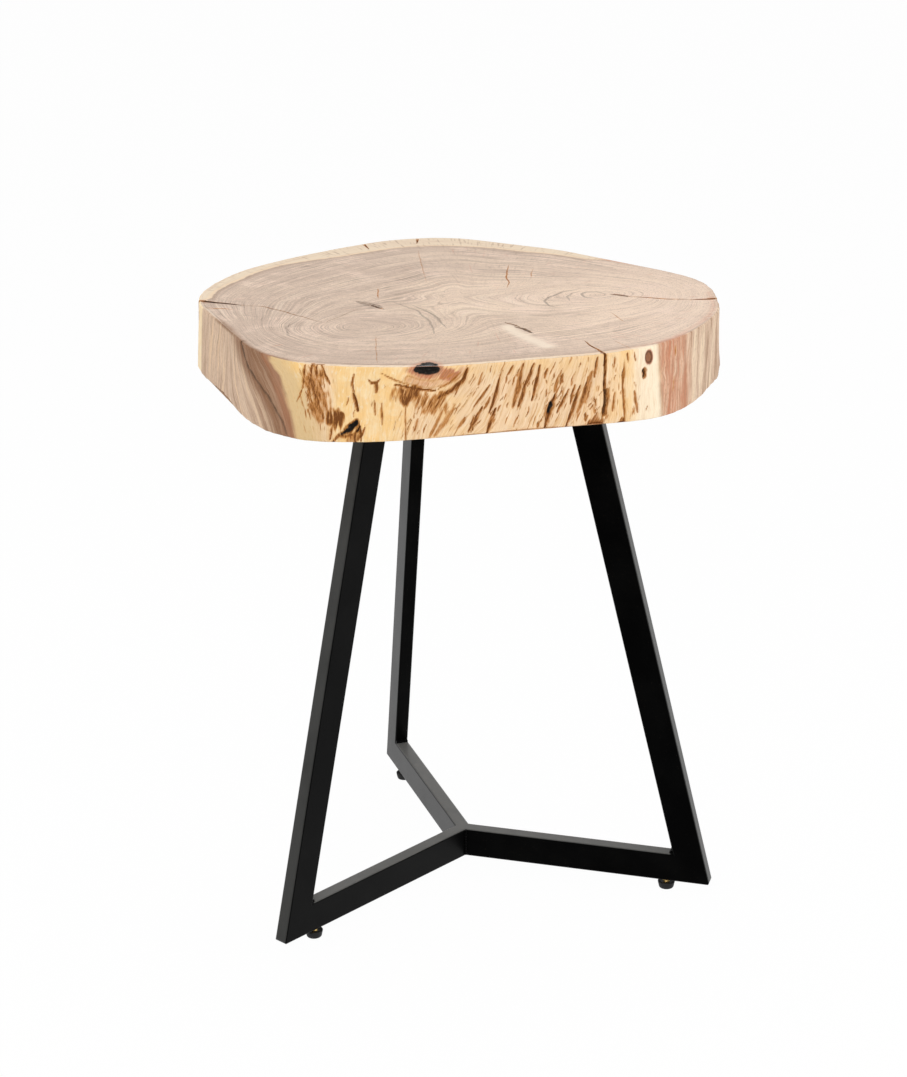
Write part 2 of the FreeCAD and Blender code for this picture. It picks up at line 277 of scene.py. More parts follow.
@dataclass(frozen=True)
class PowderCoat(Finish):
    """Satin black powder coat with a fine orange-peel skin, and a painted sheen, lighter grey, on the faces that look
    up.
    """

    name: str = "frame_coat"
    base: Colour = (0.0008, 0.0008, 0.0008)
    dust: Colour = (0.0022, 0.0022, 0.0021)
    # painted sheen: lighter grey painted on the outer faces of the legs and on the tops of the bars
    leg_painted_sheen: Colour = (0.048, 0.048, 0.046)
    bar_painted_sheen: Colour = (0.125, 0.125, 0.12)
    gloss: float = 0.26
    specular: float = 0.19
    face_on: Colour = (0.02, 0.02, 0.02)
    leans: Tuple[Tuple[Side, float], ...] = ((Side.LEFT, 14.5), (Side.RIGHT, 13.5), (Side.REAR, 13.0))
    reach: float = 216.0
    bar_underside: float = 8.5
    bar_top: float = 33.5
    bar_end: float = 182.0
    sheen_starts: float = 0.8
    sheen_full: float = 0.1
    over_top: Pair = (0.6, 0.2)
    end_fade: float = 1.0
    peel_metres: float = 0.00004

    def _sheen_faces(self, graph: ShaderGraph, place: Signal) -> Tuple[Signal, Signal]:
        """Find the faces that look up, where a sheen is painted: the outer faces of the leaning legs, and the tops of
        the bars.

        Args:
            graph: Material's graph.
            place: Place in millimetres.

        Returns:
            Share of painted sheen on the legs, and on the bars.
        """
        faces = []
        for side, lean in self.leans:
            heading, slant = math.radians(side.value), math.radians(lean)
            facing = (math.cos(heading) * math.cos(slant), math.sin(heading) * math.cos(slant), math.sin(slant))
            depth = graph.node("ShaderNodeVectorMath", {"operation": "DOT_PRODUCT"}, {0: place, 1: facing},
                               output="Value")
            limit = self.reach * math.cos(slant) + self.bar_underside * math.sin(slant)
            faces.append(depth.step(limit - self.sheen_starts, limit - self.sheen_full))
        height = graph.part(place, 2)
        out = graph.length(graph.scaled(place, (1.0, 1.0, 0.0)))
        span = out.step(self.bar_end + self.end_fade, self.bar_end - self.end_fade)
        top = height.step(self.bar_top - self.sheen_starts, self.bar_top - self.sheen_full)
        top = top * height.step(*(self.bar_top + over for over in self.over_top))
        return faces[0].most(faces[1]).most(faces[2]), span * top

    def sockets(self, graph: ShaderGraph) -> Dict[str, Any]:
        """Sockets of the coat's shader.

        Args:
            graph: Material's graph.

        Returns:
            Values and signals by socket.
        """
        place = graph.place()
        cloud = graph.noise(place, 0.03, 3.0)
        peel = graph.noise(place, 1.4, 2.0)
        grit = graph.noise(place, 4.5, 1.0)
        legs, bars = self._sheen_faces(graph, place)
        patchy = 0.55 + 0.9 * cloud
        # Painted sheen: the outer faces of the legs and the tops of the bars are painted lighter grey, in patches.
        colour = graph.layered(self.base, (cloud.step(0.35, 0.75), self.dust), (legs * patchy, self.leg_painted_sheen),
                               (bars * patchy, self.bar_painted_sheen))
        return {"Base Color": colour,
                "Roughness": self.gloss + 0.10 * cloud + 0.06 * grit.step(0.55, 0.8),
                "Specular IOR Level": self.specular,
                "Specular Tint": self.face_on,
                "Normal": graph.bump(peel + 0.35 * grit, self.peel_metres, 0.55)}


@dataclass(frozen=True)
class PlatedSteel(Finish):
    """Zinc plate on turned steel, bright or yellow."""

    name: str
    base: Colour
    tint: Colour
    gloss: float
    turning_metres: float = 0.00002

    def sockets(self, graph: ShaderGraph) -> Dict[str, Any]:
        """Sockets of the plating's shader.

        Args:
            graph: Material's graph.

        Returns:
            Values and signals by socket.
        """
        place = graph.place()
        cloud = graph.noise(place, 0.35, 3.0)
        turning = graph.noise(graph.scaled(place, (0.4, 0.4, 9.0)), 1.0, 2.0)
        return {"Base Color": graph.mix(cloud.step(0.3, 0.7), self.base, self.tint),
                "Metallic": 1.0,
                "Roughness": self.gloss + 0.18 * turning,
                "Normal": graph.bump(turning, self.turning_metres, 0.4)}


@dataclass(frozen=True)
class PadPlastic(Finish):
    """Moulded black plastic of the feet."""

    name: str = "pad_plastic"
    base: Colour = (0.005, 0.005, 0.005)
    worn: Colour = (0.014, 0.014, 0.0135)
    worn_up_to: float = 1.6
    worn_below: float = 0.2
    gloss: float = 0.44
    specular: float = 0.25
    spark_metres: float = 0.00005

    def sockets(self, graph: ShaderGraph) -> Dict[str, Any]:
        """Sockets of the plastic's shader.

        Args:
            graph: Material's graph.

        Returns:
            Values and signals by socket.
        """
        place = graph.place()
        spark = graph.noise(place, 3.0, 2.0)
        scuff = graph.noise(place, 0.5, 3.0)
        low = graph.part(place, 2).step(self.worn_up_to, self.worn_below)
        return {"Base Color": graph.mix(low * scuff, self.base, self.worn),
                "Roughness": self.gloss + 0.16 * scuff,
                "Specular IOR Level": self.specular,
                "Normal": graph.bump(spark, self.spark_metres, 0.5)}


@dataclass(frozen=True)
class SliceWood(Finish):
    """End grain of the top and the live edge round it, read from the slice's own attributes."""

    name: str = "slice_wood"
    pale_heart: Colour = (0.90, 0.70, 0.535)
    grey_heart: Colour = (0.62, 0.465, 0.365)
    blush: Colour = (0.93, 0.715, 0.575)
    chalk: Colour = (0.95, 0.80, 0.64)
    ring: Colour = (0.33, 0.235, 0.175)
    cream: Colour = (0.86, 0.70, 0.52)
    honey: Colour = (0.95, 0.61, 0.235)
    butter: Colour = (0.97, 0.72, 0.38)
    bright: Colour = (0.99, 0.885, 0.70)
    buff: Colour = (0.91, 0.66, 0.42)
    tan: Colour = (0.64, 0.325, 0.10)
    khaki: Colour = (0.73, 0.52, 0.27)
    taupe: Colour = (0.72, 0.525, 0.38)
    umber: Colour = (0.30, 0.16, 0.088)
    rust: Colour = (0.60, 0.235, 0.125)
    dust: Colour = (0.50, 0.195, 0.038)
    shadow: Colour = (0.15, 0.043, 0.006)
    black: Colour = (0.012, 0.009, 0.007)
    # grey of the knot's ash, also used as painted glints on the char
    ash_and_glints: Colour = (0.085, 0.068, 0.058)
    left_pith: Pair = (-72.0, -98.0)
    right_pith: Pair = (116.0, -9.0)
    pith_squeeze: Pair = (0.72, 0.66)
    fold: float = 40.0
    ring_sway: float = 38.0
    ring_wobble: float = 5.0
    ray_centre: Pair = (20.0, -45.0)
    top_metres: float = 0.00006
    edge_metres: float = 0.0014
    specular: float = 0.18

    def _growth(self, graph: ShaderGraph, place: Signal, inset: Signal) -> Signal:
        """Growth from 0 at the two piths to 100 at the rim.

        Args:
            graph: Material's graph.
            place: Place in millimetres.
            inset: Distance from the rim.

        Returns:
            The growth.
        """
        centred = (-0.5, -0.5, -0.5)
        bend = graph.moved(graph.noise(place, 0.011, 2.0, output="Color"), centred)
        wobble = graph.moved(graph.noise(place, 0.055, 2.0, output="Color"), centred)
        warped = graph.moved(place, graph.scaled(bend, (self.ring_sway, self.ring_sway, 0.0)))
        warped = graph.moved(warped, graph.scaled(wobble, (self.ring_wobble, self.ring_wobble, 0.0)))
        spans = []
        for (x, y), squeeze in zip((self.left_pith, self.right_pith), self.pith_squeeze):
            spans.append(graph.length(graph.scaled(graph.moved(warped, (-x, -y, 0.0)), (squeeze, 1.0, 0.0))))
        near = spans[0].soft_least(spans[1], self.fold)
        shaken = inset + 9.0 * (graph.part(bend, 0) * inset.step(0.0, 40.0))
        return 100.0 * near / (near + shaken.most(0.0) + 1.0)

    @staticmethod
    def _layer(graph: ShaderGraph, place: Signal, growth: Signal, rate: float) -> Signal:
        """Noise that changes at a rate across the rings and slowly along them."""
        slow = graph.scaled(place, (0.012, 0.012, 0.0))
        return graph.noise(graph.moved(slow, graph.joined(0.0, 0.0, growth * rate)), 1.0, 2.0, 0.6)

    def _top(self, graph: ShaderGraph, place: Signal, inset: Signal, growth: Signal, sap: Signal) -> Signal:
        """Colour of the sanded top.

        Args:
            graph: Material's graph.
            place: Place in millimetres.
            inset: Distance from the rim.
            growth: Growth from the piths to the rim.
            sap: Depth inside the sapwood.

        Returns:
            The colour.
        """
        x, y = graph.part(place, 0), graph.part(place, 1)
        broad, bands, lines, fine = (self._layer(graph, place, growth, rate) for rate in (0.09, 0.36, 1.1, 2.6))
        spread = graph.noise(place, 0.02, 3.0)
        patch = graph.noise(graph.moved(place, (90.0, 40.0, 0.0)), 0.035, 3.0, 0.6)
        grain = graph.noise(place, 0.26, 4.0, 0.75)
        middle = graph.length(graph.scaled(graph.moved(place, (-22.0, 0.0, 0.0)), (0.013, 0.011, 0.0))).step(1.1, 0.4)
        broken = graph.noise(graph.moved(place, (20.0, 310.0, 0.0)), 0.075, 2.0)
        show = (0.30 + 0.70 * patch.step(0.36, 0.62)) * (1.0 - 0.75 * middle) * (1.0 - 0.55 * x.step(125.0, 185.0))
        show = show * (0.35 + 0.65 * broken.step(0.38, 0.60))
        saw = (growth * 0.30 + 0.55 * bands).fraction()
        late = saw.step(0.58, 0.96) * saw.step(1.0, 0.97)
        edge = (inset + 50.0 * (spread - 0.5)).step(75.0, 8.0)
        # Painted light and shade: the top is painted lighter towards the right and darker towards the left and the
        # back.
        painted_shading = 0.43 - 0.36 * x.step(30.0, 150.0) + 0.34 * x.step(20.0, -75.0) + 0.24 * y.step(30.0, 100.0)
        tone = painted_shading + 0.28 * edge + 0.80 * (broad - 0.5) + 0.95 * (bands - 0.5) + (spread - 0.5)
        tone = tone + 1.45 * (grain - 0.5) - 0.12 * middle + 0.26 * y.step(-90.0, -150.0) * x.step(10.0, 60.0)
        turn = graph.node("ShaderNodeMath", {"operation": "ARCTAN2"},
                          {0: y - self.ray_centre[1], 1: x - self.ray_centre[0]})
        ray = graph.noise(graph.joined(turn * 46.0, growth * 0.045, 0.0), 1.0, 2.0)
        comb = graph.noise(graph.joined(turn * 95.0, growth * 0.11, 5.0), 1.0, 2.0)
        pores = graph.noise(graph.scaled(place, (0.9, 0.45, 0.0)), 1.0, 2.0)
        shaken = sap + 3.4 * (graph.noise(place, 0.16, 3.0) - 0.5)
        rows = graph.noise(graph.joined(inset * 0.42, x * 0.018, y * 0.018), 1.0, 3.0, 0.65)
        outer = graph.layered(self.cream, (0.75 * rows.step(0.46, 0.70), self.taupe),
                              (0.42 * comb.step(0.54, 0.68), self.umber))
        band = shaken.step(-7.0, -1.0) * shaken.step(0.8, -0.8)
        peach = shaken.step(-0.2, 0.8) * shaken.step(4.5, 1.5) * (0.2 + 1.1 * spread)
        return graph.layered(
            self.pale_heart,
            (tone.most(0.0).least(1.0), self.grey_heart),
            (0.55 * patch.step(0.48, 0.66) + 0.35 * x.step(40.0, 150.0), self.blush),
            (0.34 * lines.step(0.46, 0.30), self.cream),
            (late * show * (0.10 + 0.46 * broad.step(0.40, 0.66)), self.ring),
            (0.76 * show * lines.step(0.53, 0.68), self.ring),
            ((0.32 + 0.40 * show) * fine.step(0.52, 0.66), self.ring),
            (0.36 * fine.step(0.47, 0.34), self.chalk),
            (0.36 * ray.step(0.65, 0.75), self.rust),
            (0.32 * comb.step(0.57, 0.72), self.ring),
            (0.50 * pores.step(0.54, 0.72), self.ring),
            (0.34 * band, self.umber),
            (shaken.step(-0.9, 0.9), outer),
            (0.7 * peach, self.buff),
            # pale carries the pale streak and the painted highlight along the front rim
            (graph.attribute("pale") * (0.45 + 0.7 * grain), self.chalk),
            (graph.attribute("brown") * (0.4 + grain), self.umber),
            (graph.attribute("rust") * (0.3 + grain), self.rust))

    def _wall(self, graph: ShaderGraph, place: Signal, sap: Signal) -> Tuple[Signal, Signal]:
        """Colour and relief of the live edge.

        Args:
            graph: Material's graph.
            place: Place in millimetres.
            sap: Depth inside the sapwood.

        Returns:
            The colour, and the relief from 0 to 1.
        """
        wave = graph.noise(place, 0.05, 2.0) - 0.5
        flow = graph.attribute("flow") + 7.0 * wave + 1.2 * (graph.noise(place, 0.19, 2.0) - 0.5)
        height = graph.part(place, 2)
        streak = graph.noise(graph.joined(flow * 0.55, height * 0.028, 0.0), 1.0, 4.0, 0.68)
        hair = graph.noise(graph.joined(flow * 1.7, height * 0.045, 7.0), 1.0, 2.0, 0.6)
        broad = graph.noise(graph.joined(flow * 0.16, height * 0.012, 3.0), 1.0, 3.0, 0.6)
        flake = graph.noise(graph.joined(flow * 0.5, height * 0.16, 11.0), 1.0, 3.0, 0.65)
        mottle = graph.noise(place, 0.09, 3.0)
        bored, brown, rust = graph.attribute("bored"), graph.attribute("brown"), graph.attribute("rust")
        pore = graph.noise(graph.joined(flow * 1.5, height * 0.30, 41.0), 1.0, 2.0).step(0.56, 0.70)
        outer = graph.layered(
            self.honey,
            ((0.7 * mottle + 0.3 * flake).step(0.43, 0.64), self.butter),
            (0.6 * flake.step(0.56, 0.70), self.bright),
            (0.9 * graph.attribute("pale"), self.bright),
            (1.5 * bored * (0.5 + mottle), self.buff),
            ((0.12 + bored * 0.62) * streak.step(0.47, 0.66), self.tan),
            ((0.14 + 0.22 * bored) * hair.step(0.50, 0.68), self.tan),
            (0.36 * streak.step(0.44, 0.32), self.bright),
            (brown * (0.55 + 0.9 * streak), self.khaki),
            ((0.12 + 0.3 * brown) * pore, self.tan))
        calm = 1.0 - 0.9 * brown
        deep = (brown * (0.66 + 0.6 * broad) + 2.1 * calm * (broad - 0.51)).most(0.0).least(1.0)
        end = graph.part(place, 0).step(120.0, 165.0)
        inner = graph.layered(
            self.taupe,
            (deep, self.umber),
            (0.55 * streak.step(0.50, 0.66), self.umber),
            (0.50 * streak.step(0.47, 0.34) * calm, self.cream),
            (0.55 * broad.step(0.50, 0.34) * calm, self.buff),
            (0.42 * end * broad.step(0.52, 0.60), self.umber),
            (0.60 * end * broad.step(0.49, 0.40), self.cream),
            ((0.20 + 0.30 * deep) * hair.step(0.48, 0.64), self.shadow),
            (0.40 * pore, self.umber))
        shaken = sap + 9.0 * (streak - 0.5) + 5.0 * (mottle - 0.5)
        bands = 0.45 + 0.50 * streak.step(0.40, 0.60) + (broad - 0.40)
        colour = graph.layered(inner, (shaken.step(-3.2, 3.2), outer), (rust * bands, self.rust),
                               (0.45 * rust * (pore + hair.step(0.50, 0.64)).least(1.0), self.umber))
        return colour, 0.55 * streak + 0.35 * hair + 0.25 * flake

    def sockets(self, graph: ShaderGraph) -> Dict[str, Any]:
        """Sockets of the wood's shader.

        Args:
            graph: Material's graph.

        Returns:
            Values and signals by socket.
        """
        place = graph.place()
        inset, sap, side = graph.attribute("inset"), graph.attribute("sap"), graph.attribute("side")
        growth = self._growth(graph, place, inset)
        top = self._top(graph, place, inset, growth, sap)
        wall, relief = self._wall(graph, place, sap)
        flow, height = graph.attribute("flow"), graph.part(place, 2)
        along = graph.joined(flow, height * 0.16, 19.0)
        fibre = graph.noise(graph.moved(along, graph.scaled(place, (0.2, 0.2, 0.0))), 1.0, 3.0, 0.65)
        worm = graph.noise(graph.joined(flow * 0.50, height * 0.085, 29.0), 1.0, 1.0)
        scratch = graph.attribute("bored") * side * worm.step(0.60, 0.72) * 0.95
        bore = (graph.attribute("bore") * (3.0 * fibre - 0.45)).most(scratch)
        char = graph.attribute("char")
        # Painted highlights: the knot is painted black with grey patches, partly ash and partly painted glints.
        crust = graph.noise(place, 0.6, 3.0, 0.7)
        char_and_glints = graph.mix(0.6 * crust.step(0.54, 0.70), self.black, self.ash_and_glints)
        colour = graph.layered(top, (side, wall), (0.92 * bore.step(0.06, 0.60), self.dust),
                               (0.92 * bore.step(0.52, 1.0), self.shadow), (char.step(0.25, 0.85), char_and_glints))
        rings = graph.noise(graph.joined(growth * 1.4, 0.0, 0.0), 1.0, 2.0)
        pores = graph.noise(place, 1.9, 2.0)
        flat = graph.bump(0.5 * rings + 0.5 * pores, self.top_metres, 0.45)
        rough_skin = graph.bump(relief + 2.4 * char * crust, self.edge_metres, 0.8)
        normal = graph.node("ShaderNodeMix", {"data_type": "VECTOR"}, {0: side, 4: flat, 5: rough_skin}, output=1)
        gloss = 0.46 + 0.12 * pores + 0.18 * side - 0.30 * char.step(0.5, 0.9)
        return {"Base Color": colour, "Roughness": gloss.least(0.95), "Specular IOR Level": self.specular,
                "Normal": normal}


# Geometry Nodes


class GeometryTree:
    """Builds a Geometry Nodes tree with named inputs and bakes it to a plain mesh."""

    def __init__(self, name: str) -> None:
        """Start a tree.

        Args:
            name: Tree's name.
        """
        self.tree = bpy.data.node_groups.new(name, "GeometryNodeTree")
        self.tree.interface.new_socket(name="Geometry", in_out="INPUT", socket_type="NodeSocketGeometry")
        self.tree.interface.new_socket(name="Geometry", in_out="OUTPUT", socket_type="NodeSocketGeometry")
        self.source = self.tree.nodes.new("NodeGroupInput")
        self.result = self.tree.nodes.new("NodeGroupOutput")

    def give(self, name: str, kind: str = "NodeSocketFloat") -> None:
        """Add a named input."""
        self.tree.interface.new_socket(name=name, in_out="INPUT", socket_type=kind)

    def input(self, name: str) -> NodeSocket:
        """Output socket of the group's input of that name."""
        return self.source.outputs[name]

    def node(self, kind: str, settings: Optional[Dict[str, Any]] = None, sockets: Optional[Dict[Any, Any]] = None,
             output: Union[int, str] = 0) -> NodeSocket:
        """Output of a new node."""
        return add_node(self.tree, kind, settings, sockets).outputs[output]

    def times(self, name: str, factor: float) -> NodeSocket:
        """A named input times a factor."""
        return self.node("ShaderNodeMath", {"operation": "MULTIPLY"}, {0: self.input(name), 1: factor})

    def close(self, shape: NodeSocket, material: NodeSocket) -> None:
        """Realize, dress and output a shape.

        Args:
            shape: Geometry to output.
            material: Socket that carries the material.
        """
        real = self.node("GeometryNodeRealizeInstances", None, {0: shape})
        dressed = self.node("GeometryNodeSetMaterial", None, {"Geometry": real, "Material": material})
        self.tree.links.new(dressed, self.result.inputs[0])

    def bake(self, name: str, start: Mesh, values: Dict[str, Any]) -> Object:
        """Run the tree on a mesh and keep the result as a plain mesh.

        Args:
            name: New object's name.
            start: Mesh that the tree starts from.
            values: Values of the named inputs.

        Returns:
            An object with the baked mesh and no modifier.
        """
        holder = bpy.data.objects.new(name, start)
        bpy.context.scene.collection.objects.link(holder)
        modifier = holder.modifiers.new("build", "NODES")
        modifier.node_group = self.tree
        sockets = {item.name: item.identifier for item in self.tree.interface.items_tree if item.in_out == "INPUT"}
        for key, value in values.items():
            modifier[sockets[key]] = value
        bpy.context.view_layer.update()
        depsgraph = bpy.context.evaluated_depsgraph_get()
        baked = bpy.data.meshes.new_from_object(holder.evaluated_get(depsgraph))
        holder.modifiers.clear()
        holder.data = baked
        return holder


def weld_tree(least: float = 0.9, most: float = 1.08, lap: float = 2.3) -> GeometryTree:
    """Tree that lays overlapping ripples along a path of edges.

    Args:
        least: Narrowest ripple, as a share of the bead's width.
        most: Widest ripple.
        lap: Length of a ripple in pitches.

    Returns:
        The tree.
    """
    tree = GeometryTree("weld_bead")
    tree.give("Pitch")
    tree.give("Width")
    tree.give("Seed", "NodeSocketInt")
    tree.give("Coat", "NodeSocketMaterial")
    path = tree.node("GeometryNodeMeshToCurve", None, {"Mesh": tree.input("Geometry")})
    run = tree.node("GeometryNodeResampleCurve", {"mode": "LENGTH"}, {"Curve": path, "Length": tree.input("Pitch")})
    ripple = tree.node("GeometryNodeMeshUVSphere", None, {"Segments": 12, "Rings": 8, "Radius": 0.5})
    tangent = tree.node("GeometryNodeInputTangent")
    turn = tree.node("FunctionNodeAlignRotationToVector", {"axis": "Z"}, {"Vector": tangent})
    size = tree.node("FunctionNodeRandomValue", {"data_type": "FLOAT"},
                     {2: tree.times("Width", least), 3: tree.times("Width", most), "Seed": tree.input("Seed")},
                     output=1)
    scale = tree.node("ShaderNodeCombineXYZ", None, {0: size, 1: size, 2: tree.times("Pitch", lap)})
    bead = tree.node("GeometryNodeInstanceOnPoints", None,
                     {"Points": run, "Instance": ripple, "Rotation": turn, "Scale": scale})
    smooth = tree.node("GeometryNodeSetShadeSmooth", None, {"Geometry": bead})
    tree.close(smooth, tree.input("Coat"))
    return tree


def screw_tree() -> GeometryTree:
    """Tree that sets one screw on every point of a mesh.

    Returns:
        The tree.
    """
    tree = GeometryTree("screw_set")
    tree.give("Screw", "NodeSocketObject")
    tree.give("Seed", "NodeSocketInt")
    tree.give("Plating", "NodeSocketMaterial")
    points = tree.node("GeometryNodeMeshToPoints", None, {"Mesh": tree.input("Geometry")})
    screw = tree.node("GeometryNodeObjectInfo", None, {"Object": tree.input("Screw")}, output="Geometry")
    spin = tree.node("FunctionNodeRandomValue", {"data_type": "FLOAT"},
                     {2: 0.0, 3: math.tau, "Seed": tree.input("Seed")}, output=1)
    turn = tree.node("ShaderNodeCombineXYZ", None, {2: spin})
    placed = tree.node("GeometryNodeInstanceOnPoints", None,
                       {"Points": points, "Instance": screw, "Rotation": turn})
    tree.close(placed, tree.input("Plating"))
    return tree


# Mesh helpers


def plain_mesh(name: str, points: Sequence[Sequence[float]], faces: Sequence[Sequence[int]],
               edges: Sequence[Sequence[int]] = ()) -> Mesh:
    """Mesh from points in metres.

    Args:
        name: Mesh's name.
        points: Places of the vertices.
        faces: Corner indices of each face.
        edges: Ends of loose edges.

    Returns:
        The mesh.
    """
    mesh = bpy.data.meshes.new(name)
    mesh.from_pydata([tuple(map(float, point)) for point in points], list(edges), list(faces))
    mesh.update()
    return mesh


def turned_mesh(name: str, profile: Sequence[Pair], segments: int, centre: Pair,
                swell: Optional[Callable[[float, float], float]] = None) -> Mesh:
    """Closed turned body about an upright axis.

    Args:
        name: Mesh's name.
        profile: Radius and height from the lower pole to the upper one, both with radius 0.
        segments: Steps round the axis.
        centre: Place of the axis.
        swell: Function of angle and height that adds to the radius.

    Returns:
        The mesh.
    """
    points: List[Point] = [(centre[0] * MM, centre[1] * MM, profile[0][1] * MM)]
    faces: List[Tuple[int, ...]] = []
    rings = profile[1:-1]
    for radius, height in rings:
        for step in range(segments):
            angle = math.tau * step / segments
            reach = radius + (swell(angle, height) if swell else 0.0)
            points.append(((centre[0] + reach * math.cos(angle)) * MM, (centre[1] + reach * math.sin(angle)) * MM,
                           height * MM))
    points.append((centre[0] * MM, centre[1] * MM, profile[-1][1] * MM))
    last = len(points) - 1
    for step in range(segments):
        following = (step + 1) % segments
        faces.append((0, 1 + following, 1 + step))
        for row in range(len(rings) - 1):
            base = 1 + row * segments
            faces.append((base + step, base + following, base + segments + following, base + segments + step))
        base = 1 + (len(rings) - 1) * segments
        faces.append((base + step, base + following, last))
    return plain_mesh(name, points, faces)


def dressed(obj: Object, material: Material, smooth: bool = True) -> Object:
    """Give an object one material and smooth or flat faces.

    Args:
        obj: Object to dress.
        material: Its material.
        smooth: Whether faces are shaded smooth.

    Returns:
        The object.
    """
    obj.data.materials.clear()
    obj.data.materials.append(material)
    obj.data.polygons.foreach_set("use_smooth", [smooth] * len(obj.data.polygons))
    return obj


def shown(name: str, mesh: Mesh) -> Object:
    """Object in the scene for a mesh.

    Args:
        name: Object's name.
        mesh: Its mesh.

    Returns:
        The object.
    """
    obj = bpy.data.objects.new(name, mesh)
    bpy.context.scene.collection.objects.link(obj)
    return obj


def seat(obj: Object, body: str, slot: str, *nodes: str) -> None:
    """Let a piece ride on a body and stand for CAD nodes.

    Args:
        obj: The piece.
        body: Body it moves with.
        slot: Name of a material slot, which is not used.
        nodes: CAD nodes that it stands for.
    """
    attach(obj, body)
    if nodes:
        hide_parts(*nodes)
    LOG.info("%s on %s, %d faces", obj.name, body, len(obj.data.polygons))


def ramp(low: float, high: float, value: Field) -> Field:
    """Smooth step from 0 at low to 1 at high."""
    share = np.clip((value - low) / (high - low), 0.0, 1.0)
    return share * share * (3.0 - 2.0 * share)


def lattice_noise(seed: int, across: Field, along: Field, period: int) -> Field:
    """Smooth noise from -1 to 1 on a seeded lattice that repeats across.

    Args:
        seed: Seed of the lattice.
        across: Coordinate that repeats, in lattice steps.
        along: Other coordinate, in lattice steps.
        period: Steps after which the pattern repeats.

    Returns:
        The noise.
    """
    table = np.random.default_rng(seed).uniform(-1.0, 1.0, (period, LATTICE_ROWS))
    left, low = np.floor(across).astype(int), np.floor(along).astype(int)
    u, v = across - left, along - low
    u, v = u * u * (3 - 2 * u), v * v * (3 - 2 * v)
    columns = left % period, (left + 1) % period
    rows = low % LATTICE_ROWS, (low + 1) % LATTICE_ROWS
    under = table[columns[0], rows[0]] * (1 - u) + table[columns[1], rows[0]] * u
    over = table[columns[0], rows[1]] * (1 - u) + table[columns[1], rows[1]] * u
    return under * (1 - v) + over * v


def bearing(spots: Field) -> Field:
    """Angle of each spot about the origin, in degrees from 0 to 360."""
    return np.degrees(np.arctan2(spots[:, 1], spots[:, 0])) % FULL_TURN


def looked_up(table: Run, value: Field) -> Field:
    """Value from a table of pairs, straight between its rows."""
    return np.interp(value, *zip(*table))


def stroke(across: Field, along: Field, points: Sequence[Pair]) -> Tuple[Field, Field]:
    """Distance to a run of straight lines, and how far along it the nearest place is.

    Args:
        across: First coordinate.
        along: Second coordinate.
        points: Corners of the run.

    Returns:
        The distance, and the share of the run from 0 to 1.
    """
    best, share = np.full(np.shape(across), np.inf), np.zeros(np.shape(across))
    spans = [math.dist(first, second) for first, second in zip(points[:-1], points[1:])]
    passed = 0.0
    for (ax, ay), (bx, by), span in zip(points[:-1], points[1:], spans):
        dx, dy = bx - ax, by - ay
        part = np.clip(((across - ax) * dx + (along - ay) * dy) / span ** 2, 0.0, 1.0)
        gap = np.hypot(across - ax - part * dx, along - ay - part * dy)
        share = np.where(gap < best, (passed + part * span) / sum(spans), share)
        best = np.minimum(best, gap)
        passed += span
    return best, share


# The slice


@dataclass(frozen=True)
class Split:
    """A drying check or dark seam in the top: its run, widest half width, depth and stains."""

    run: Run
    half: float
    depth: float
    char: float = 0.6
    bore: float = 1.0
    open_start: bool = False
    lead: float = 7.5
    spacing: float = 1.8

    def rows(self) -> Tuple[Field, Field, Field]:
        """Points along the check, from a little way in where it opens in the rim.

        Returns:
            Middle points, unit vectors across and half widths.
        """
        lead = self.lead if self.open_start else 0.0
        run = np.array(self.run, float)
        steps = np.concatenate([[0.0], np.cumsum(np.hypot(*np.diff(run, axis=0).T))])
        at = np.linspace(lead, steps[-1], max(4, int((steps[-1] - lead) / self.spacing)))
        middle = np.column_stack([np.interp(at, steps, run[:, 0]), np.interp(at, steps, run[:, 1])])
        ahead = np.gradient(middle, axis=0)
        ahead /= np.hypot(*ahead.T)[:, None]
        across = np.column_stack([-ahead[:, 1], ahead[:, 0]])
        share = (at - lead) / max(steps[-1] - lead, 1e-6)
        taper = np.sqrt(np.clip(1.0 - share, 0.0, 1.0)) if self.open_start else np.sin(np.pi * share) ** 0.6
        wander = min(self.half, 1.0) * (0.5 * np.sin(at * 0.23 + run[0, 0]) + 0.2 * np.sin(at * 0.61 + run[0, 1]))
        return middle + across * wander[:, None] * taper[:, None], across, self.half * taper


@dataclass(frozen=True)
class Gallery:
    """One insect gallery or seam in the live edge: angles and heights of its run, half width and darkness."""

    run: Run
    half: float
    tone: float
    depth: float = 1.1


@dataclass(frozen=True)
class Bored:
    """A stretch of the live edge with many small galleries along its grain."""

    start: float
    end: float
    low: float
    high: float
    count: int
    lengths: Pair
    widths: Pair
    tone: float


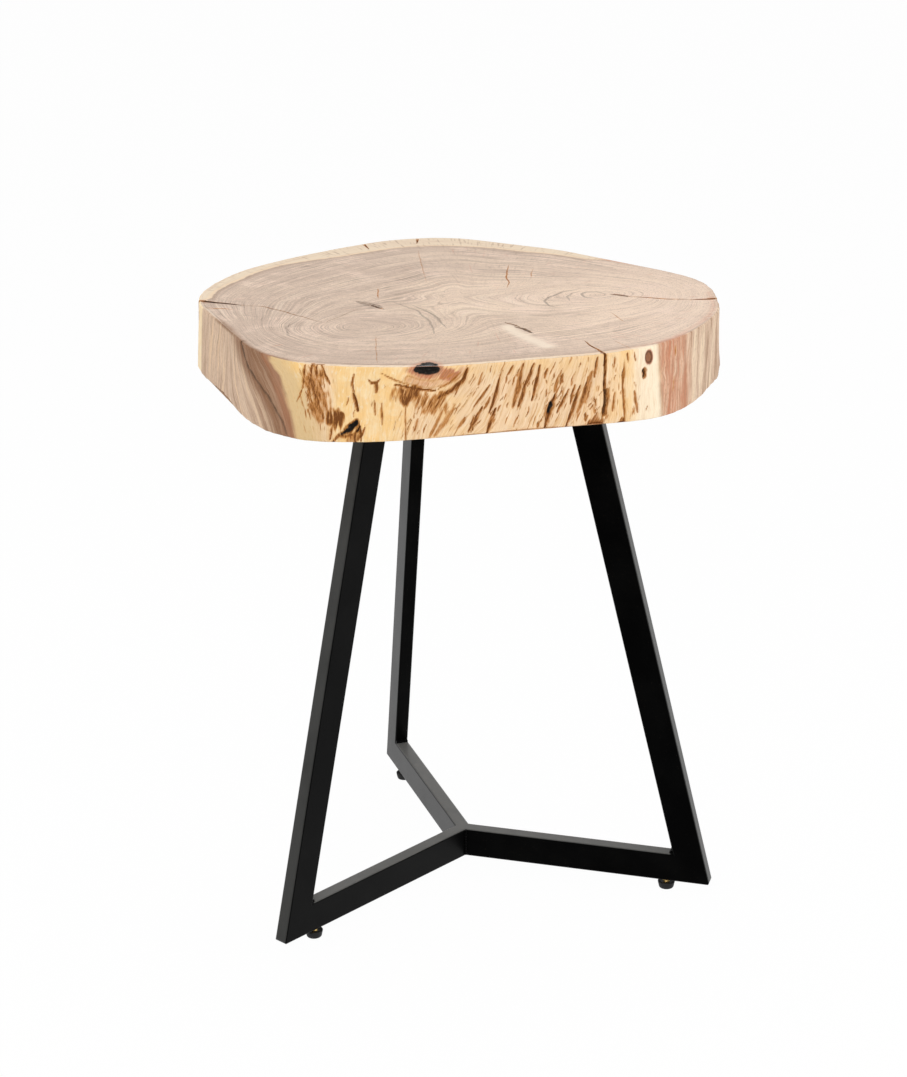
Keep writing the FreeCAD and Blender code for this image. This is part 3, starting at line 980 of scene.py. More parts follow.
@dataclass
class Marks:
    """Depth and stains of the live edge, over length along the rim, height and the coordinate across the grain."""

    arc: Field
    height: Field
    flow: Field
    layers: Dict[str, Field]
    gallery_edge: Pair = (1.30, 0.40)
    gallery_sink: float = 1.3
    halo_edge: Pair = (2.8, 1.0)
    halo_tone: float = 0.24

    def lay(self, **values: Field) -> None:
        """Raise layers to new values where those are larger."""
        for name, value in values.items():
            self.layers[name] = np.maximum(self.layers[name], value)

    def noise(self, seed: int, across: float, along: float, lean: Optional[Field] = None) -> Field:
        """Noise over the live edge, in cells of a size round the rim, or on another coordinate, and upwards."""
        place = self.arc if lean is None else lean
        return lattice_noise(seed, place / across, self.height / along, LATTICE_PERIOD)

    def carve(self, part: Any, off: Field, tone: float, depth: float) -> None:
        """Cut one gallery, with a soft stain round it.

        Args:
            part: Where in the layers the distances belong.
            off: Distance from the gallery's middle, 1 at its edge.
            tone: Darkness of the gallery.
            depth: Depth of the gallery.
        """
        mark = ramp(*self.gallery_edge, off)
        stain = np.maximum(tone * mark, self.halo_tone * tone * ramp(*self.halo_edge, off))
        for name, value in (("bore", stain), ("depth", self.gallery_sink * depth * tone * mark)):
            self.layers[name][part] = np.maximum(self.layers[name][part], value)


@dataclass
class TrunkSlice:
    """The live-edge slice of trunk that is the table's top."""

    node: str = "slab_top"
    ease: float = 1.5
    ease_rows: int = 5
    row_spacing: float = 1.05
    rim_steps: int = 7200
    rim_share: float = 0.75
    level_slack: float = 0.05
    knot_from: float = 255.0
    knot_to: float = 273.0
    knot_angle: float = 263.8
    knot_level: float = 53.0
    knot_half: float = 9.2
    knot_tall: float = 5.0
    knot_inwards: float = 9.5
    knot_zone: float = 2.0
    knot_spacing: float = 1.1
    knot_margin: float = 0.8
    cap_spacing: float = 3.4
    cap_margin: float = 1.3
    under_spacing: float = 10.0
    under_margin: float = 4.0
    split_margin: float = 1.2
    split_least: float = 0.06
    grid_ratio: float = 0.866
    grid_shake: float = 0.12
    merge_reach: float = 1e-5
    seam_window: float = 70.0
    gallery_window: float = 60.0
    gallery_depth: float = 0.9
    front_right: float = 313.6
    sap_limit: float = 30.0
    seed: int = 11
    # depth, char and bore of points that the triangulation adds
    added_stain: Tuple[float, float, float] = (0.3, 0.2, 0.6)
    # ripples of the live edge: height, number round the rim and length upwards
    ripples: Tuple[Tuple[float, int, float], ...] = ((0.55, 72, 40.0), (0.30, 210, 25.0), (0.12, 520, 16.0))
    # rows of points along a check: offset in half widths, share of its depth and share of its stains
    split_profile: Tuple[Tuple[float, float, float], ...] = (
        (-1.7, 0.0, 0.0), (-1.0, 0.0, 0.9), (-0.5, 0.85, 1.0), (0.0, 1.0, 1.0), (0.5, 0.85, 1.0), (1.0, 0.0, 0.9),
        (1.7, 0.0, 0.0))
    # widths of the sapwood on the top, by angle; below 0 the heartwood reaches the rim
    sap_width: Run = (
        (0, -6), (38, -4), (42, 0), (47, 10), (66, 19), (78, 21), (89, 30), (97, 31), (112, 29), (124, 26),
        (135, 18), (142, 13), (160, 14), (172, 10), (179, 9), (183, 0), (188, -5), (225, -6), (233, -2), (240, 2.6),
        (250, 4.2), (305, 4.4), (311, 2), (315, -4), (330, -6), (360, -6))
    # how far the grain of the live edge moves round the rim for each unit of height, by angle
    grain_lean: Run = (
        (0, 0.1), (90, 0.12), (150, -0.1), (185, 0.05), (195, 0.25), (203, 0.28), (210, -0.1), (217, -0.8),
        (225, -1.15), (233, -0.9), (240, -0.4), (246, -0.05), (255, 0.1), (262, 0.4), (266, 0.6), (270, 0.7),
        (274, 0.62), (278, 0.36), (285, 0.28), (297, 0.28), (300, 0.08), (306, 0.0), (312, 0.05), (320, 0.2),
        (335, 0.14), (360, 0.1))
    # share of the live edge that insects have bored, by angle
    bored_share: Run = (
        (44, 0), (60, 0.5), (150, 0.5), (175, 0), (240, 0), (241, 0.8), (245, 0.8), (247, 0.12), (257, 0.15),
        (262, 0.55), (268, 0.45), (273, 0.65), (298, 0.65), (304, 0.5), (308, 0.25), (312, 0.1), (316, 0))
    # column spacing of the mesh round the rim, by angle
    columns: Run = (
        (0, 1.2), (40, 1.1), (165, 1.1), (180, 1.1), (230, 1.0), (237, 0.66), (315, 0.66), (322, 1.1), (360, 1.2))
    # lines down the live edge, as heights and angles: the sapwood's ends, and the hollow at the lower left
    front_left: Run = ((0.0, 239.6), (18.0, 238.0), (43.0, 234.8), (52.0, 231.6))
    back_start: Run = ((0.0, 39.0), (25.0, 41.5), (55.0, 45.5))
    back_end: Run = ((0.0, 186.0), (55.0, 188.0))
    hollow: Run = ((0.0, 237.6), (10.0, 236.2), (25.0, 232.0), (32.0, 228.5), (41.0, 223.0), (52.0, 219.0))
    # runs on the live edge, as angles and heights: the dark crease of that hollow, and the swirl under the knot
    crease: Run = ((218.8, 55), (223, 41), (228.5, 32), (232, 25), (236.2, 10), (237.6, 0))
    swirl: Run = ((260.3, 46), (262, 43.5), (264.5, 42), (267.5, 43.5), (269.6, 47), (271, 52))
    # run of the pale streak on the top
    pale_streak: Run = ((38, -98), (44, -116), (54, -135), (66, -155))
    # holes and slots in the live edge: run of angles and heights, half width, depth and darkness
    holes: Tuple[Tuple[Run, float, float, float], ...] = (
        (((250.6, 14.6), (249.6, 11.0), (248.9, 8.6)), 2.3, 3.4, 1.0), (((249.0, 9.0), (247.8, 5.6)), 1.3, 2.6, 0.9),
        (((251.2, 11.5), (250.7, 8.0)), 1.0, 2.2, 0.7), (((310.0, 37.8), (310.0, 33.4)), 1.7, 3.0, 0.9),
        (((290.4, 19.5), (290.0, 12.5)), 2.0, 3.0, 0.9), (((301.6, 26.0), (301.8, 18.0), (301.5, 9.5)), 2.0, 3.0, 0.62))
    # broken places in the live edge: angle and height, half width, half height and darkness
    blots: Tuple[Tuple[Pair, float, float, float], ...] = (
        ((246.8, 18.0), 6.4, 8.6, 1.35), ((250.0, 2.8), 5.6, 5.0, 1.05), ((260.6, 34.0), 13.0, 8.5, 0.95),
        ((265.0, 27.0), 13.0, 10.0, 0.78), ((242.4, 42.0), 9.5, 14.0, 0.74), ((243.6, 27.0), 8.0, 14.0, 0.80),
        ((297.4, 24.0), 5.0, 9.0, 0.42))
    # notches in the lower rim: angle, half width, height and depth
    notches: Tuple[Tuple[float, float, float, float], ...] = ((300.0, 8.0, 11.0, 4.0), (305.2, 5.0, 5.0, 2.0))

    splits: Tuple[Split, ...] = tuple(Split(*row) for row in (
        (((-206, -6), (-196, -9), (-184, -15), (-168, -22)), 1.7, 5.0, 0.8, 1.0, True),
        (((-172, -21), (-151, -27), (-134, -44), (-107, -74), (-101, -79)), 0.7, 0.6, 0.52, 0.28),
        (((-101, -79), (-90, -60), (-76, -37)), 0.6, 0.5, 0.48, 0.15),
        (((-198, -28), (-185, -31), (-174, -35)), 0.6, 0.6, 0.0, 0.6),
        (((206, -21.5), (196, -22.5), (184, -23)), 1.5, 5.0, 0.25, 1.0, True),
        (((185, -23), (169, -21), (150, -15), (136, -10)), 0.8, 0.8, 0.1, 0.8),
        (((139, -12), (130, -6), (121, -2)), 1.8, 1.2, 0.62, 0.35),
        (((108, -181), (103, -169), (98, -156), (94, -141)), 0.85, 4.0, 0.15, 0.9, True),
        (((-80, -13), (-70, -22), (-58, -38)), 4.2, 1.0, 0.52, 0.12),
        (((-68, -27), (-61, -35), (-56, -41)), 1.0, 1.4, 0.75, 0.5),
        (((36, -85), (42, -92), (48, -101)), 1.0, 1.2, 0.60, 0.35),
        (((43, -98), (50, -106), (57, -119)), 1.5, 1.4, 0.66, 0.35),
        (((44, 101), (41, 60), (43, 42), (41, 24)), 0.55, 0.5, 0.0, 0.55),
        (((64, 88), (62, 70), (61, 54)), 0.5, 0.4, 0.0, 0.34),
        (((-32, 161), (-28, 100), (-24, 47)), 0.4, 0.4, 0.0, 0.28), (((-63, 27), (-62, -6)), 0.5, 0.5, 0.0, 0.5),
        (((-61, -117), (-60, -156), (-58, -199)), 0.4, 0.4, 0.0, 0.28), (((119, -60), (128, -91)), 0.4, 0.4, 0.0, 0.32),
        (((116, -142), (128, -168)), 0.4, 0.4, 0.0, 0.28),
        (((101, 18), (86, 8), (74, -8), (69, -23), (72, -36), (80, -44)), 1.2, 0.2, 0.52, 0.0),
        (((100, 10), (92, 3), (88, -9), (89, -22)), 1.0, 0.2, 0.48, 0.0),
        (((121, -2), (112, 5), (104, 6), (99, 1), (101, -10), (110, -15)), 1.2, 0.2, 0.52, 0.0),
        (((-51, -17), (-31, -45), (-20, -83), (-17, -116), (-24, -120)), 1.0, 0.2, 0.48, 0.0),
        (((-35, -28), (-18, -58), (-8, -100)), 1.1, 0.2, 0.50, 0.0),
        (((-120, -65), (-130, -93), (-127, -114), (-115, -134)), 1.0, 0.2, 0.46, 0.0),
        (((-33, 210), (-33, 186)), 0.9, 2.0, 0.2, 0.9, True), (((-80, 193), (-74, 166)), 0.9, 2.0, 0.2, 0.9, True)))

    seams: Tuple[Gallery, ...] = tuple(Gallery(*row) for row in (
        (((278.6, 42), (277.8, 28), (276.6, 16)), 1.5, 0.9), (((276.6, 38), (275.0, 30), (273.2, 22)), 1.2, 0.7),
        (((275.0, 21), (273.6, 12), (272.0, 3)), 1.9, 0.85), (((278.0, 19), (277.0, 10), (276.0, 0)), 1.6, 0.9),
        (((275.0, 48), (274.2, 39)), 1.3, 0.5), (((281.6, 52), (280.5, 45)), 1.1, 0.75),
        (((283.8, 53), (283.3, 46)), 1.1, 0.8), (((285.9, 52), (285.0, 40), (283.8, 32)), 1.5, 0.9),
        (((287.3, 50), (286.8, 38), (285.9, 23)), 1.4, 0.9), (((283.3, 47), (282.9, 35), (281.7, 19)), 2.5, 0.72),
        (((284.3, 36), (283.8, 27), (283.0, 19)), 1.8, 0.85), (((289.0, 47), (288.4, 40)), 1.2, 0.8),
        (((292.3, 42), (291.9, 34)), 1.1, 0.85), (((291.3, 39), (290.8, 28)), 1.4, 0.65),
        (((291.0, 26), (290.0, 15), (289.2, 0)), 2.2, 0.85, 1.8), (((295.0, 33), (294.3, 18)), 1.3, 0.75),
        (((293.8, 30), (292.8, 22), (291.6, 12)), 1.2, 0.85), (((296.1, 32), (295.0, 15), (293.7, 0)), 1.5, 0.9),
        (((298.4, 42), (297.8, 31), (296.0, 11)), 2.9, 0.6), (((297.5, 34), (297.0, 22)), 1.5, 0.95),
        (((299.3, 53), (299.0, 38)), 1.3, 0.85), (((305.5, 46), (305.3, 27), (305.8, 0)), 1.1, 0.75),
        (((303.5, 24), (303.2, 10)), 1.2, 0.65), (((307.7, 23), (308.4, 7)), 1.5, 0.65),
        (((303.2, 52), (303.2, 44)), 0.9, 0.65), (((319.0, 51), (318.5, 43)), 0.9, 0.55, 0.5),
        (((317.8, 29), (317.2, 17)), 0.8, 0.45, 0.4), (((240.5, 54), (240.1, 38)), 1.1, 0.85),
        (((241.9, 55), (241.6, 43)), 1.0, 0.9), (((242.8, 55), (242.9, 45)), 1.1, 0.9),
        (((243.8, 55), (244.6, 48), (245.6, 42)), 1.2, 0.85), (((241.2, 36), (242.4, 25), (243.9, 14)), 1.6, 0.7),
        (((242.0, 41), (243.3, 28), (244.7, 17)), 1.8, 0.8), (((243.6, 43), (244.6, 32), (245.5, 19)), 1.3, 0.65),
        (((240.4, 39), (239.2, 27)), 0.6, 0.7), (((250.0, 50), (249.7, 43), (250.1, 37)), 1.0, 0.75),
        (((249.9, 36), (250.9, 23)), 1.5, 1.0, 1.6), (((251.0, 15), (251.5, 1)), 1.1, 0.95),
        (((252.1, 11), (251.5, 4)), 0.9, 0.85), (((246.3, 12), (246.0, 2)), 1.0, 0.85),
        (((246.4, 0), (247.4, 5), (248.8, 4.5), (250.0, 6)), 1.5, 0.8),
        (((252.7, 46), (253.2, 43.5), (254.0, 43.5), (254.9, 46)), 0.9, 0.85), (((254.2, 44), (254.2, 37)), 1.7, 0.8),
        (((253.8, 31), (254.0, 20)), 0.9, 0.65), (((255.2, 29), (255.2, 13)), 0.9, 0.65),
        (((255.0, 51), (257.5, 46), (260.5, 41.5)), 0.8, 0.6),
        (((257.6, 42.5), (259.2, 41), (261.8, 38.5), (265.4, 37)), 1.1, 1.0, 1.3),
        (((271.9, 52), (271.0, 43.5), (268.8, 36.5), (266.0, 31)), 2.0, 1.0, 1.4),
        (((270.6, 50), (268.4, 42.5), (266.0, 38)), 0.9, 0.65), (((269.0, 22), (267.2, 12), (265.0, 2)), 2.6, 0.5),
        (((266.7, 21), (265.4, 11), (264.0, 1)), 1.7, 0.55), (((271.3, 14), (270.0, 7)), 1.4, 0.65),
        (((259.6, 28), (259.5, 0)), 0.8, 0.6), (((261.9, 16), (261.2, 7)), 1.2, 0.55)))

    galleries: Tuple[Bored, ...] = tuple(Bored(*row) for row in (
        (272, 300, 2, 52, 46, (5, 14), (1.0, 1.8), 0.56), (272, 301, 2, 53, 62, (2.5, 7), (0.8, 1.3), 0.62),
        (301, 308, 2, 50, 22, (4, 11), (0.8, 1.6), 0.6), (257, 272, 2, 36, 26, (4, 13), (0.8, 1.6), 0.5),
        (240.3, 245.4, 22, 48, 24, (6, 16), (0.7, 1.3), 0.6), (246, 257, 2, 50, 7, (3, 8), (0.8, 1.2), 0.5),
        (308, 312, 6, 44, 3, (3, 6), (0.8, 1.2), 0.5), (58, 100, 3, 52, 60, (5, 18), (1.4, 2.4), 0.62),
        (118, 165, 3, 52, 60, (5, 16), (1.4, 2.4), 0.6), (46, 178, 3, 52, 50, (4, 10), (1.2, 2.0), 0.55)))

    def build(self, material: Material) -> None:
        """Make the slice and let it stand for its node.

        Args:
            material: The wood.
        """
        self._read_rim()
        self._lay_columns()
        obj = shown("trunk_slice", self._join(self._wall()))
        dressed(obj, material)
        seat(obj, "table", "wood", self.node)

    # reading the rim

    def _read_rim(self) -> None:
        """Read the two rims of the slice from its node."""
        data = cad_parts[self.node].data
        flat = np.empty(len(data.vertices) * 3, np.float32)
        data.vertices.foreach_get("co", flat)
        spots = flat.reshape(-1, 3).astype(float) / MM
        self.top, self.bottom = spots[:, 2].max(), spots[:, 2].min()
        self.upper = self._ring(spots, self.top - self.ease)
        self.lower = self._ring(spots, self.bottom + self.ease)
        self.fine = np.linspace(0.0, FULL_TURN, self.rim_steps + 1)
        turn = np.radians(self.fine)
        radius = self._radius(self.upper, self.fine)
        steps = np.hypot(np.diff(radius * np.cos(turn)), np.diff(radius * np.sin(turn)))
        self.lengths = np.concatenate([[0.0], np.cumsum(steps)])
        self.girth = self.lengths[-1]

    @property
    def thick(self) -> float:
        """Thickness of the slice."""
        return self.top - self.bottom

    def _ring(self, spots: Field, level: float) -> Tuple[Field, Field]:
        """Angles and radii of the rim at a level.

        Args:
            spots: Vertices of the node.
            level: Height of the rim.

        Returns:
            Angles in degrees and radii.
        """
        near = spots[np.abs(spots[:, 2] - level) < self.level_slack]
        radius, angle = np.hypot(near[:, 0], near[:, 1]), bearing(near)
        knot = (angle > self.knot_from) & (angle < self.knot_to) & (level > (self.top + self.bottom) / 2)
        clear = (radius > self.rim_share * radius.max()) & ~knot
        return angle[clear], radius[clear]

    @staticmethod
    def _radius(ring: Tuple[Field, Field], angle: Field) -> Field:
        """Radius of a rim at an angle."""
        return np.interp(angle, ring[0], ring[1], period=FULL_TURN)

    def _arc(self, angle: Any) -> Any:
        """Length along the rim up to an angle."""
        return np.interp(angle, self.fine, self.lengths)

    def _angle(self, arc: Field) -> Field:
        """Angle at a length along the rim."""
        return np.interp(arc, self.lengths, self.fine)

    def _lay_columns(self) -> None:
        """Place the mesh's columns round the rim."""
        spacing = looked_up(self.columns, self.fine)
        count = np.concatenate([[0.0], np.cumsum(np.diff(self.lengths) / ((spacing[1:] + spacing[:-1]) / 2))])
        total = int(round(count[-1]))
        self.angles = np.interp(np.arange(total) * count[-1] / total, count, self.fine)
        self.arcs = self._arc(self.angles)

    def _levels(self) -> Tuple[Field, Field]:
        """Rows of the mesh.

        Returns:
            Their heights above the underside, and how far each is eased inwards.
        """
        turn = np.radians(np.linspace(0.0, 90.0, self.ease_rows))
        low = self.ease * (1 - np.cos(turn))
        inwards = self.ease * (1 - np.sin(turn))
        rows = int(round((self.thick - 2 * self.ease) / self.row_spacing))
        middle = np.linspace(self.ease, self.thick - self.ease, rows + 1)[1:-1]
        height = np.concatenate([low, middle, self.thick - low[::-1]])
        return height, np.concatenate([inwards, np.zeros(len(middle)), inwards[::-1]])

    # live edge

    def _flow(self, arc: Field, height: Field) -> Field:
        """Coordinate across the grain of the live edge."""
        return arc - looked_up(self.grain_lean, self._angle(arc)) * (height - self.thick / 2)

    def _line(self, height: Field, table: Run) -> Field:
        """Length along the rim of a line down the live edge, from its heights and angles."""
        levels, angles = zip(*table)
        return np.interp(height, levels, self._arc(np.array(angles)))

    def _stretch(self, arc: Field, start: float, full: float, fade: float, end: float) -> Field:
        """Tint round the rim that starts, is full, fades and ends at the angles given."""
        return ramp(self._arc(start), self._arc(full), arc) * ramp(self._arc(end), self._arc(fade), arc)

    def _sap_wall(self, arc: Field, height: Field) -> Field:
        """Depth inside the sapwood on the live edge, below 0 in the heartwood.

        Args:
            arc: Length along the rim.
            height: Height above the underside.

        Returns:
            The depth.
        """
        front = np.minimum(arc - self._line(height, self.front_left), self._arc(self.front_right) - arc)
        back = np.minimum(arc - self._line(height, self.back_start), self._line(height, self.back_end) - arc)
        return np.clip(np.maximum(front, back), -self.sap_limit, self.sap_limit)

    def _wall(self) -> Dict[str, Field]:
        """Places and attributes of the live edge's grid.

        Returns:
            Arrays by name, each with a row per level and a column per place round the rim.
        """
        level, inwards = self._levels()
        height, arc = np.meshgrid(level, self.arcs, indexing="ij")
        angle = np.broadcast_to(self.angles, height.shape)
        flow = self._flow(arc, height)
        share = np.clip((height - self.ease) / (self.thick - 2 * self.ease), 0.0, 1.0)
        radius = self._radius(self.lower, angle) * (1 - share) + self._radius(self.upper, angle) * share
        wall = self._marks(arc, height, flow)
        swell = np.zeros_like(arc)
        for index, (rise, count, tall) in enumerate(self.ripples):
            swell += rise * lattice_noise(self.seed + index, flow / (self.girth / count), height / tall, count)
        depth = swell - swell.max() - wall["depth"]
        radius = radius + depth - inwards[:, None]
        turn = np.radians(angle)
        wall.update(x=radius * np.cos(turn), y=radius * np.sin(turn), z=self.bottom + height, flow=flow,
                    sap=self._sap_wall(arc, height), side=np.ones_like(arc), inset=np.zeros_like(arc))
        wall["sap"][-1], wall["side"][-1] = looked_up(self.sap_width, self.angles), 0.0
        return wall

    def _marks(self, arc: Field, height: Field, flow: Field) -> Dict[str, Field]:
        """Depth and stains of everything that marks the live edge.

        Args:
            arc: Length along the rim.
            height: Height above the underside.
            flow: Coordinate across the grain.

        Returns:
            Depth, bore, char, rust, pale, bored and brown, by name.
        """
        names = ("depth", "bore", "char", "rust", "pale", "bored", "brown")
        self.marks = Marks(arc, height, flow, {name: np.zeros_like(arc) for name in names})
        for cut in (self._bore, self._trace, self._knots, self._slots, self._mouths, self._tints):
            cut()
        return self.marks.layers

    def _at(self, angle: float, height: float) -> Pair:
        """Place on the live edge, as length along the rim and height."""
        return float(self._arc(angle)), height

    def _near(self, place: float, window: float) -> Tuple[slice, Field]:
        """Columns of the grid near a length along the rim."""
        return slice(None), np.abs(self.arcs - place) < window

    def _away(self, run: Run) -> Tuple[Field, Field]:
        """Distance to a run on the live edge, and how far along it the nearest place is."""
        return stroke(self.marks.arc, self.marks.height, [self._at(*spot) for spot in run])

    def _oval(self, spot: Pair, wide: float, tall: float) -> Field:
        """Distance from the middle of an oval on the live edge, 1 at its rim."""
        middle, level = self._at(*spot)
        return np.hypot((self.marks.arc - middle) / wide, (self.marks.height - level) / tall)

    def _tints(self) -> None:
        """Lay the broad tints of the live edge."""
        marks = self.marks
        arc, height = marks.arc, marks.height
        pale = np.maximum(0.6 * self._stretch(arc, 165.0, 175.0, 196.0, 200.0),
                          self._stretch(arc, 306.0, 309.0, 313.0, 315.0))
        blush = np.maximum(self._stretch(arc, 313.2, 315.0, 320.0, 327.0),
                           self._stretch(arc, 30.0, 37.0, 40.0, 47.0))
        edge = self._line(height, self.front_left)
        stripe = ramp(15.0, 6.0, edge - arc) * ramp(-3.0, 1.0, edge - arc)
        left = ramp(-42.0, -2.0, arc - self._line(height, self.hollow)) * ramp(34.0, 8.0, arc - edge)
        rim = ramp(51.5, 54.0, height) * self._stretch(arc, 194.0, 202.0, 230.0, 236.0)
        brown = np.maximum(np.maximum(left, 0.75 * rim), 0.12 * (arc < self._arc(42.0)))
        bored = looked_up(self.bored_share, self._angle(arc)) * (1.0 - 0.3 * ramp(38.0, 52.0, height))
        marks.lay(pale=pale, rust=np.maximum(0.80 * blush, 0.26 * stripe), bored=bored,
                  brown=np.where(arc > self._arc(260.0), 0.0, brown))

    def _trace(self) -> None:
        """Cut the galleries and seams that are placed one by one."""
        shake = 0.30 * self.marks.noise(self.seed + 4, 2.0, 4.0)
        for seam in self.seams:
            run = [self._at(*spot) for spot in seam.run]
            part = self._near(run[0][0], self.seam_window)
            gap, share = stroke(self.marks.arc[part] + shake[part], self.marks.height[part], run)
            width = seam.half * (0.45 + 0.55 * np.sin(np.pi * share))
            self.marks.carve(part, gap / width, seam.tone, seam.depth)

    def _bore(self) -> None:
        """Cut the many small galleries along the grain."""
        chance = np.random.default_rng(self.seed)
        beyond = 9.0
        for zone in self.galleries:
            for _ in range(zone.count):
                centre = chance.uniform(self._arc(zone.start), self._arc(zone.end))
                level = chance.uniform(zone.low, zone.high)
                long = chance.uniform(*zone.lengths) / 2
                half = chance.uniform(*zone.widths) / 2
                tone = zone.tone * chance.uniform(0.45, 1.55)
                part = self._near(centre, self.gallery_window)
                middle = float(self._flow(np.array([centre]), np.array([level]))[0])
                along = (self.marks.height[part] - level) / long
                off = np.abs(self.marks.flow[part] - middle - 0.6 * np.sin(2.0 * along + centre))
                taper = np.clip(1.0 - along ** 2, 0.02, 1.0)
                off = np.where(np.abs(along) < 1, off / (half * taper), beyond)
                self.marks.carve(part, off, tone, self.gallery_depth)

    def _knots(self) -> None:
        """Sink the charred knot in the rim, its swirl and cheek, and the small oval knot."""
        marks = self.marks
        knot = self._oval((self.knot_angle, self.knot_level), self.knot_half, self.knot_tall)
        knot = knot + 0.16 * marks.noise(self.seed + 5, 5.0, 3.5)
        knot = knot + 0.07 * marks.noise(self.seed + 15, 2.0, 2.0)
        marks.lay(char=ramp(1.08, 0.80, knot), rust=1.2 * ramp(1.75, 1.1, knot), depth=3.2 * ramp(1.15, 0.3, knot))
        bend, _ = self._away(self.swirl)
        marks.lay(rust=0.55 * ramp(3.4, 0.8, bend),
                  bore=0.34 * ramp(1.5, 0.4, np.abs(bend - 2.6)) * (marks.height < 50))
        cheek = self._oval((268.2, 48.5), 7.5, 5.5)
        cheek = cheek + 0.25 * marks.noise(self.seed + 14, 1.6, 6.0, marks.arc - 0.7 * marks.height)
        marks.lay(rust=1.7 * ramp(1.1, 0.6, cheek), bore=0.24 * ramp(1.1, 0.5, cheek))
        oval = self._oval((311.2, 47.0), 3.7, 5.6)
        marks.lay(rust=1.9 * ramp(1.15, 0.8, oval), bore=0.22 * ramp(1.1, 0.7, oval),
                  char=0.50 * ramp(1.1, 0.8, oval) + 0.16 * ramp(0.3, 0.1, np.abs(oval - 0.85)),
                  depth=0.7 * ramp(1.2, 0.5, oval))

    def _slots(self) -> None:
        """Cut the holes, slots, creases and broken places."""
        marks = self.marks
        for run, half, depth, tone in self.holes:
            gap, _ = self._away(run)
            gap = gap + 0.4 * half * marks.noise(self.seed + 6, 1.8, 2.5)
            marks.lay(char=tone * ramp(half, 0.4 * half, gap), bore=ramp(1.8 * half, 0.7 * half, gap) * 0.7,
                      depth=depth * ramp(1.2 * half, 0.2 * half, gap))
        fur = 0.75 + 0.5 * marks.noise(self.seed + 10, 1.3, 7.0, marks.flow)
        for spot, wide, tall, stain in self.blots:
            blot = self._oval(spot, wide, tall) + 0.35 * marks.noise(self.seed + 7, 2.0, 5.0)
            marks.lay(bore=stain * fur * ramp(1.15, 0.5, blot), depth=0.9 * fur * ramp(1.1, 0.5, blot))
        gap, share = self._away(self.crease)
        line = ramp(2.6, 0.3, gap + 0.6 * marks.noise(self.seed + 12, 2.5, 5.0))
        marks.lay(char=(0.62 - 0.1 * share) * line, depth=0.9 * line)

    def _mouths(self) -> None:
        """Open the drying checks where they come out in the live edge, and the broken notches at the bottom."""
        marks = self.marks
        for run, half, depth in ((((300.9, 60), (301.2, 30), (301.5, 20)), 0.85, 4.0),
                                 (((181.4, 60), (181.8, self.thick - 14)), 1.3, 6.0),
                                 (((354.3, 60), (354.6, self.thick - 17)), 1.2, 6.0)):
            gap, _ = self._away(run)
            gap = gap + 0.3 * marks.noise(self.seed + 8, 2.0, 4.0)
            marks.lay(char=0.46 * ramp(1.1 * half, 0.2 * half, gap), bore=ramp(2.0 * half, 0.7 * half, gap),
                      depth=depth * ramp(1.05 * half, 0.0, gap))
        for angle, wide, tall, depth in self.notches:
            notch = np.abs(marks.arc - float(self._arc(angle))) / wide + marks.height / tall
            notch = notch + 0.2 * marks.noise(self.seed + 9, 2.0, 3.0)
            marks.lay(bore=0.6 * ramp(1.1, 0.7, notch), depth=depth * ramp(1.05, 0.3, notch))

    # top and underside

    def _cap_grid(self, ring: Field, spacing: float, margin: float) -> Field:
        """Even points inside an outline.

        Args:
            ring: Outline points.
            spacing: Distance between points.
            margin: Distance that they keep from the outline.

        Returns:
            The points.
        """
        reach = np.abs(ring).max()
        rows = np.arange(-reach, reach, spacing * self.grid_ratio)
        chance = np.random.default_rng(self.seed + 3)
        spots = []
        for index, y in enumerate(rows):
            x = np.arange(-reach, reach, spacing) + (index % 2) * spacing / 2
            spots.append(np.column_stack([x, np.full_like(x, y)]))
        shake = chance.uniform(-self.grid_shake, self.grid_shake, (sum(map(len, spots)), 2))
        grid = np.vstack(spots) + shake * spacing
        return grid[self._inset(ring, grid) > margin]

    @staticmethod
    def _inset(ring: Field, spots: Field) -> Field:
        """Distance from an outline at each spot, measured towards the origin."""
        edge = np.interp(bearing(spots), bearing(ring), np.hypot(*ring.T), period=FULL_TURN)
        return edge - np.hypot(*spots.T)

    def _burn(self, ring: Field, spots: Field) -> Field:
        """Distance of each spot from the middle of the charred knot in the top, 1 at its edge."""
        away = np.hypot((self._arc(bearing(spots)) - self._arc(self.knot_angle)) / self.knot_half,
                        self._inset(ring, spots) / self.knot_inwards)
        return away + 0.16 * lattice_noise(self.seed + 5, *(spots.T / 4.0), LATTICE_PERIOD)

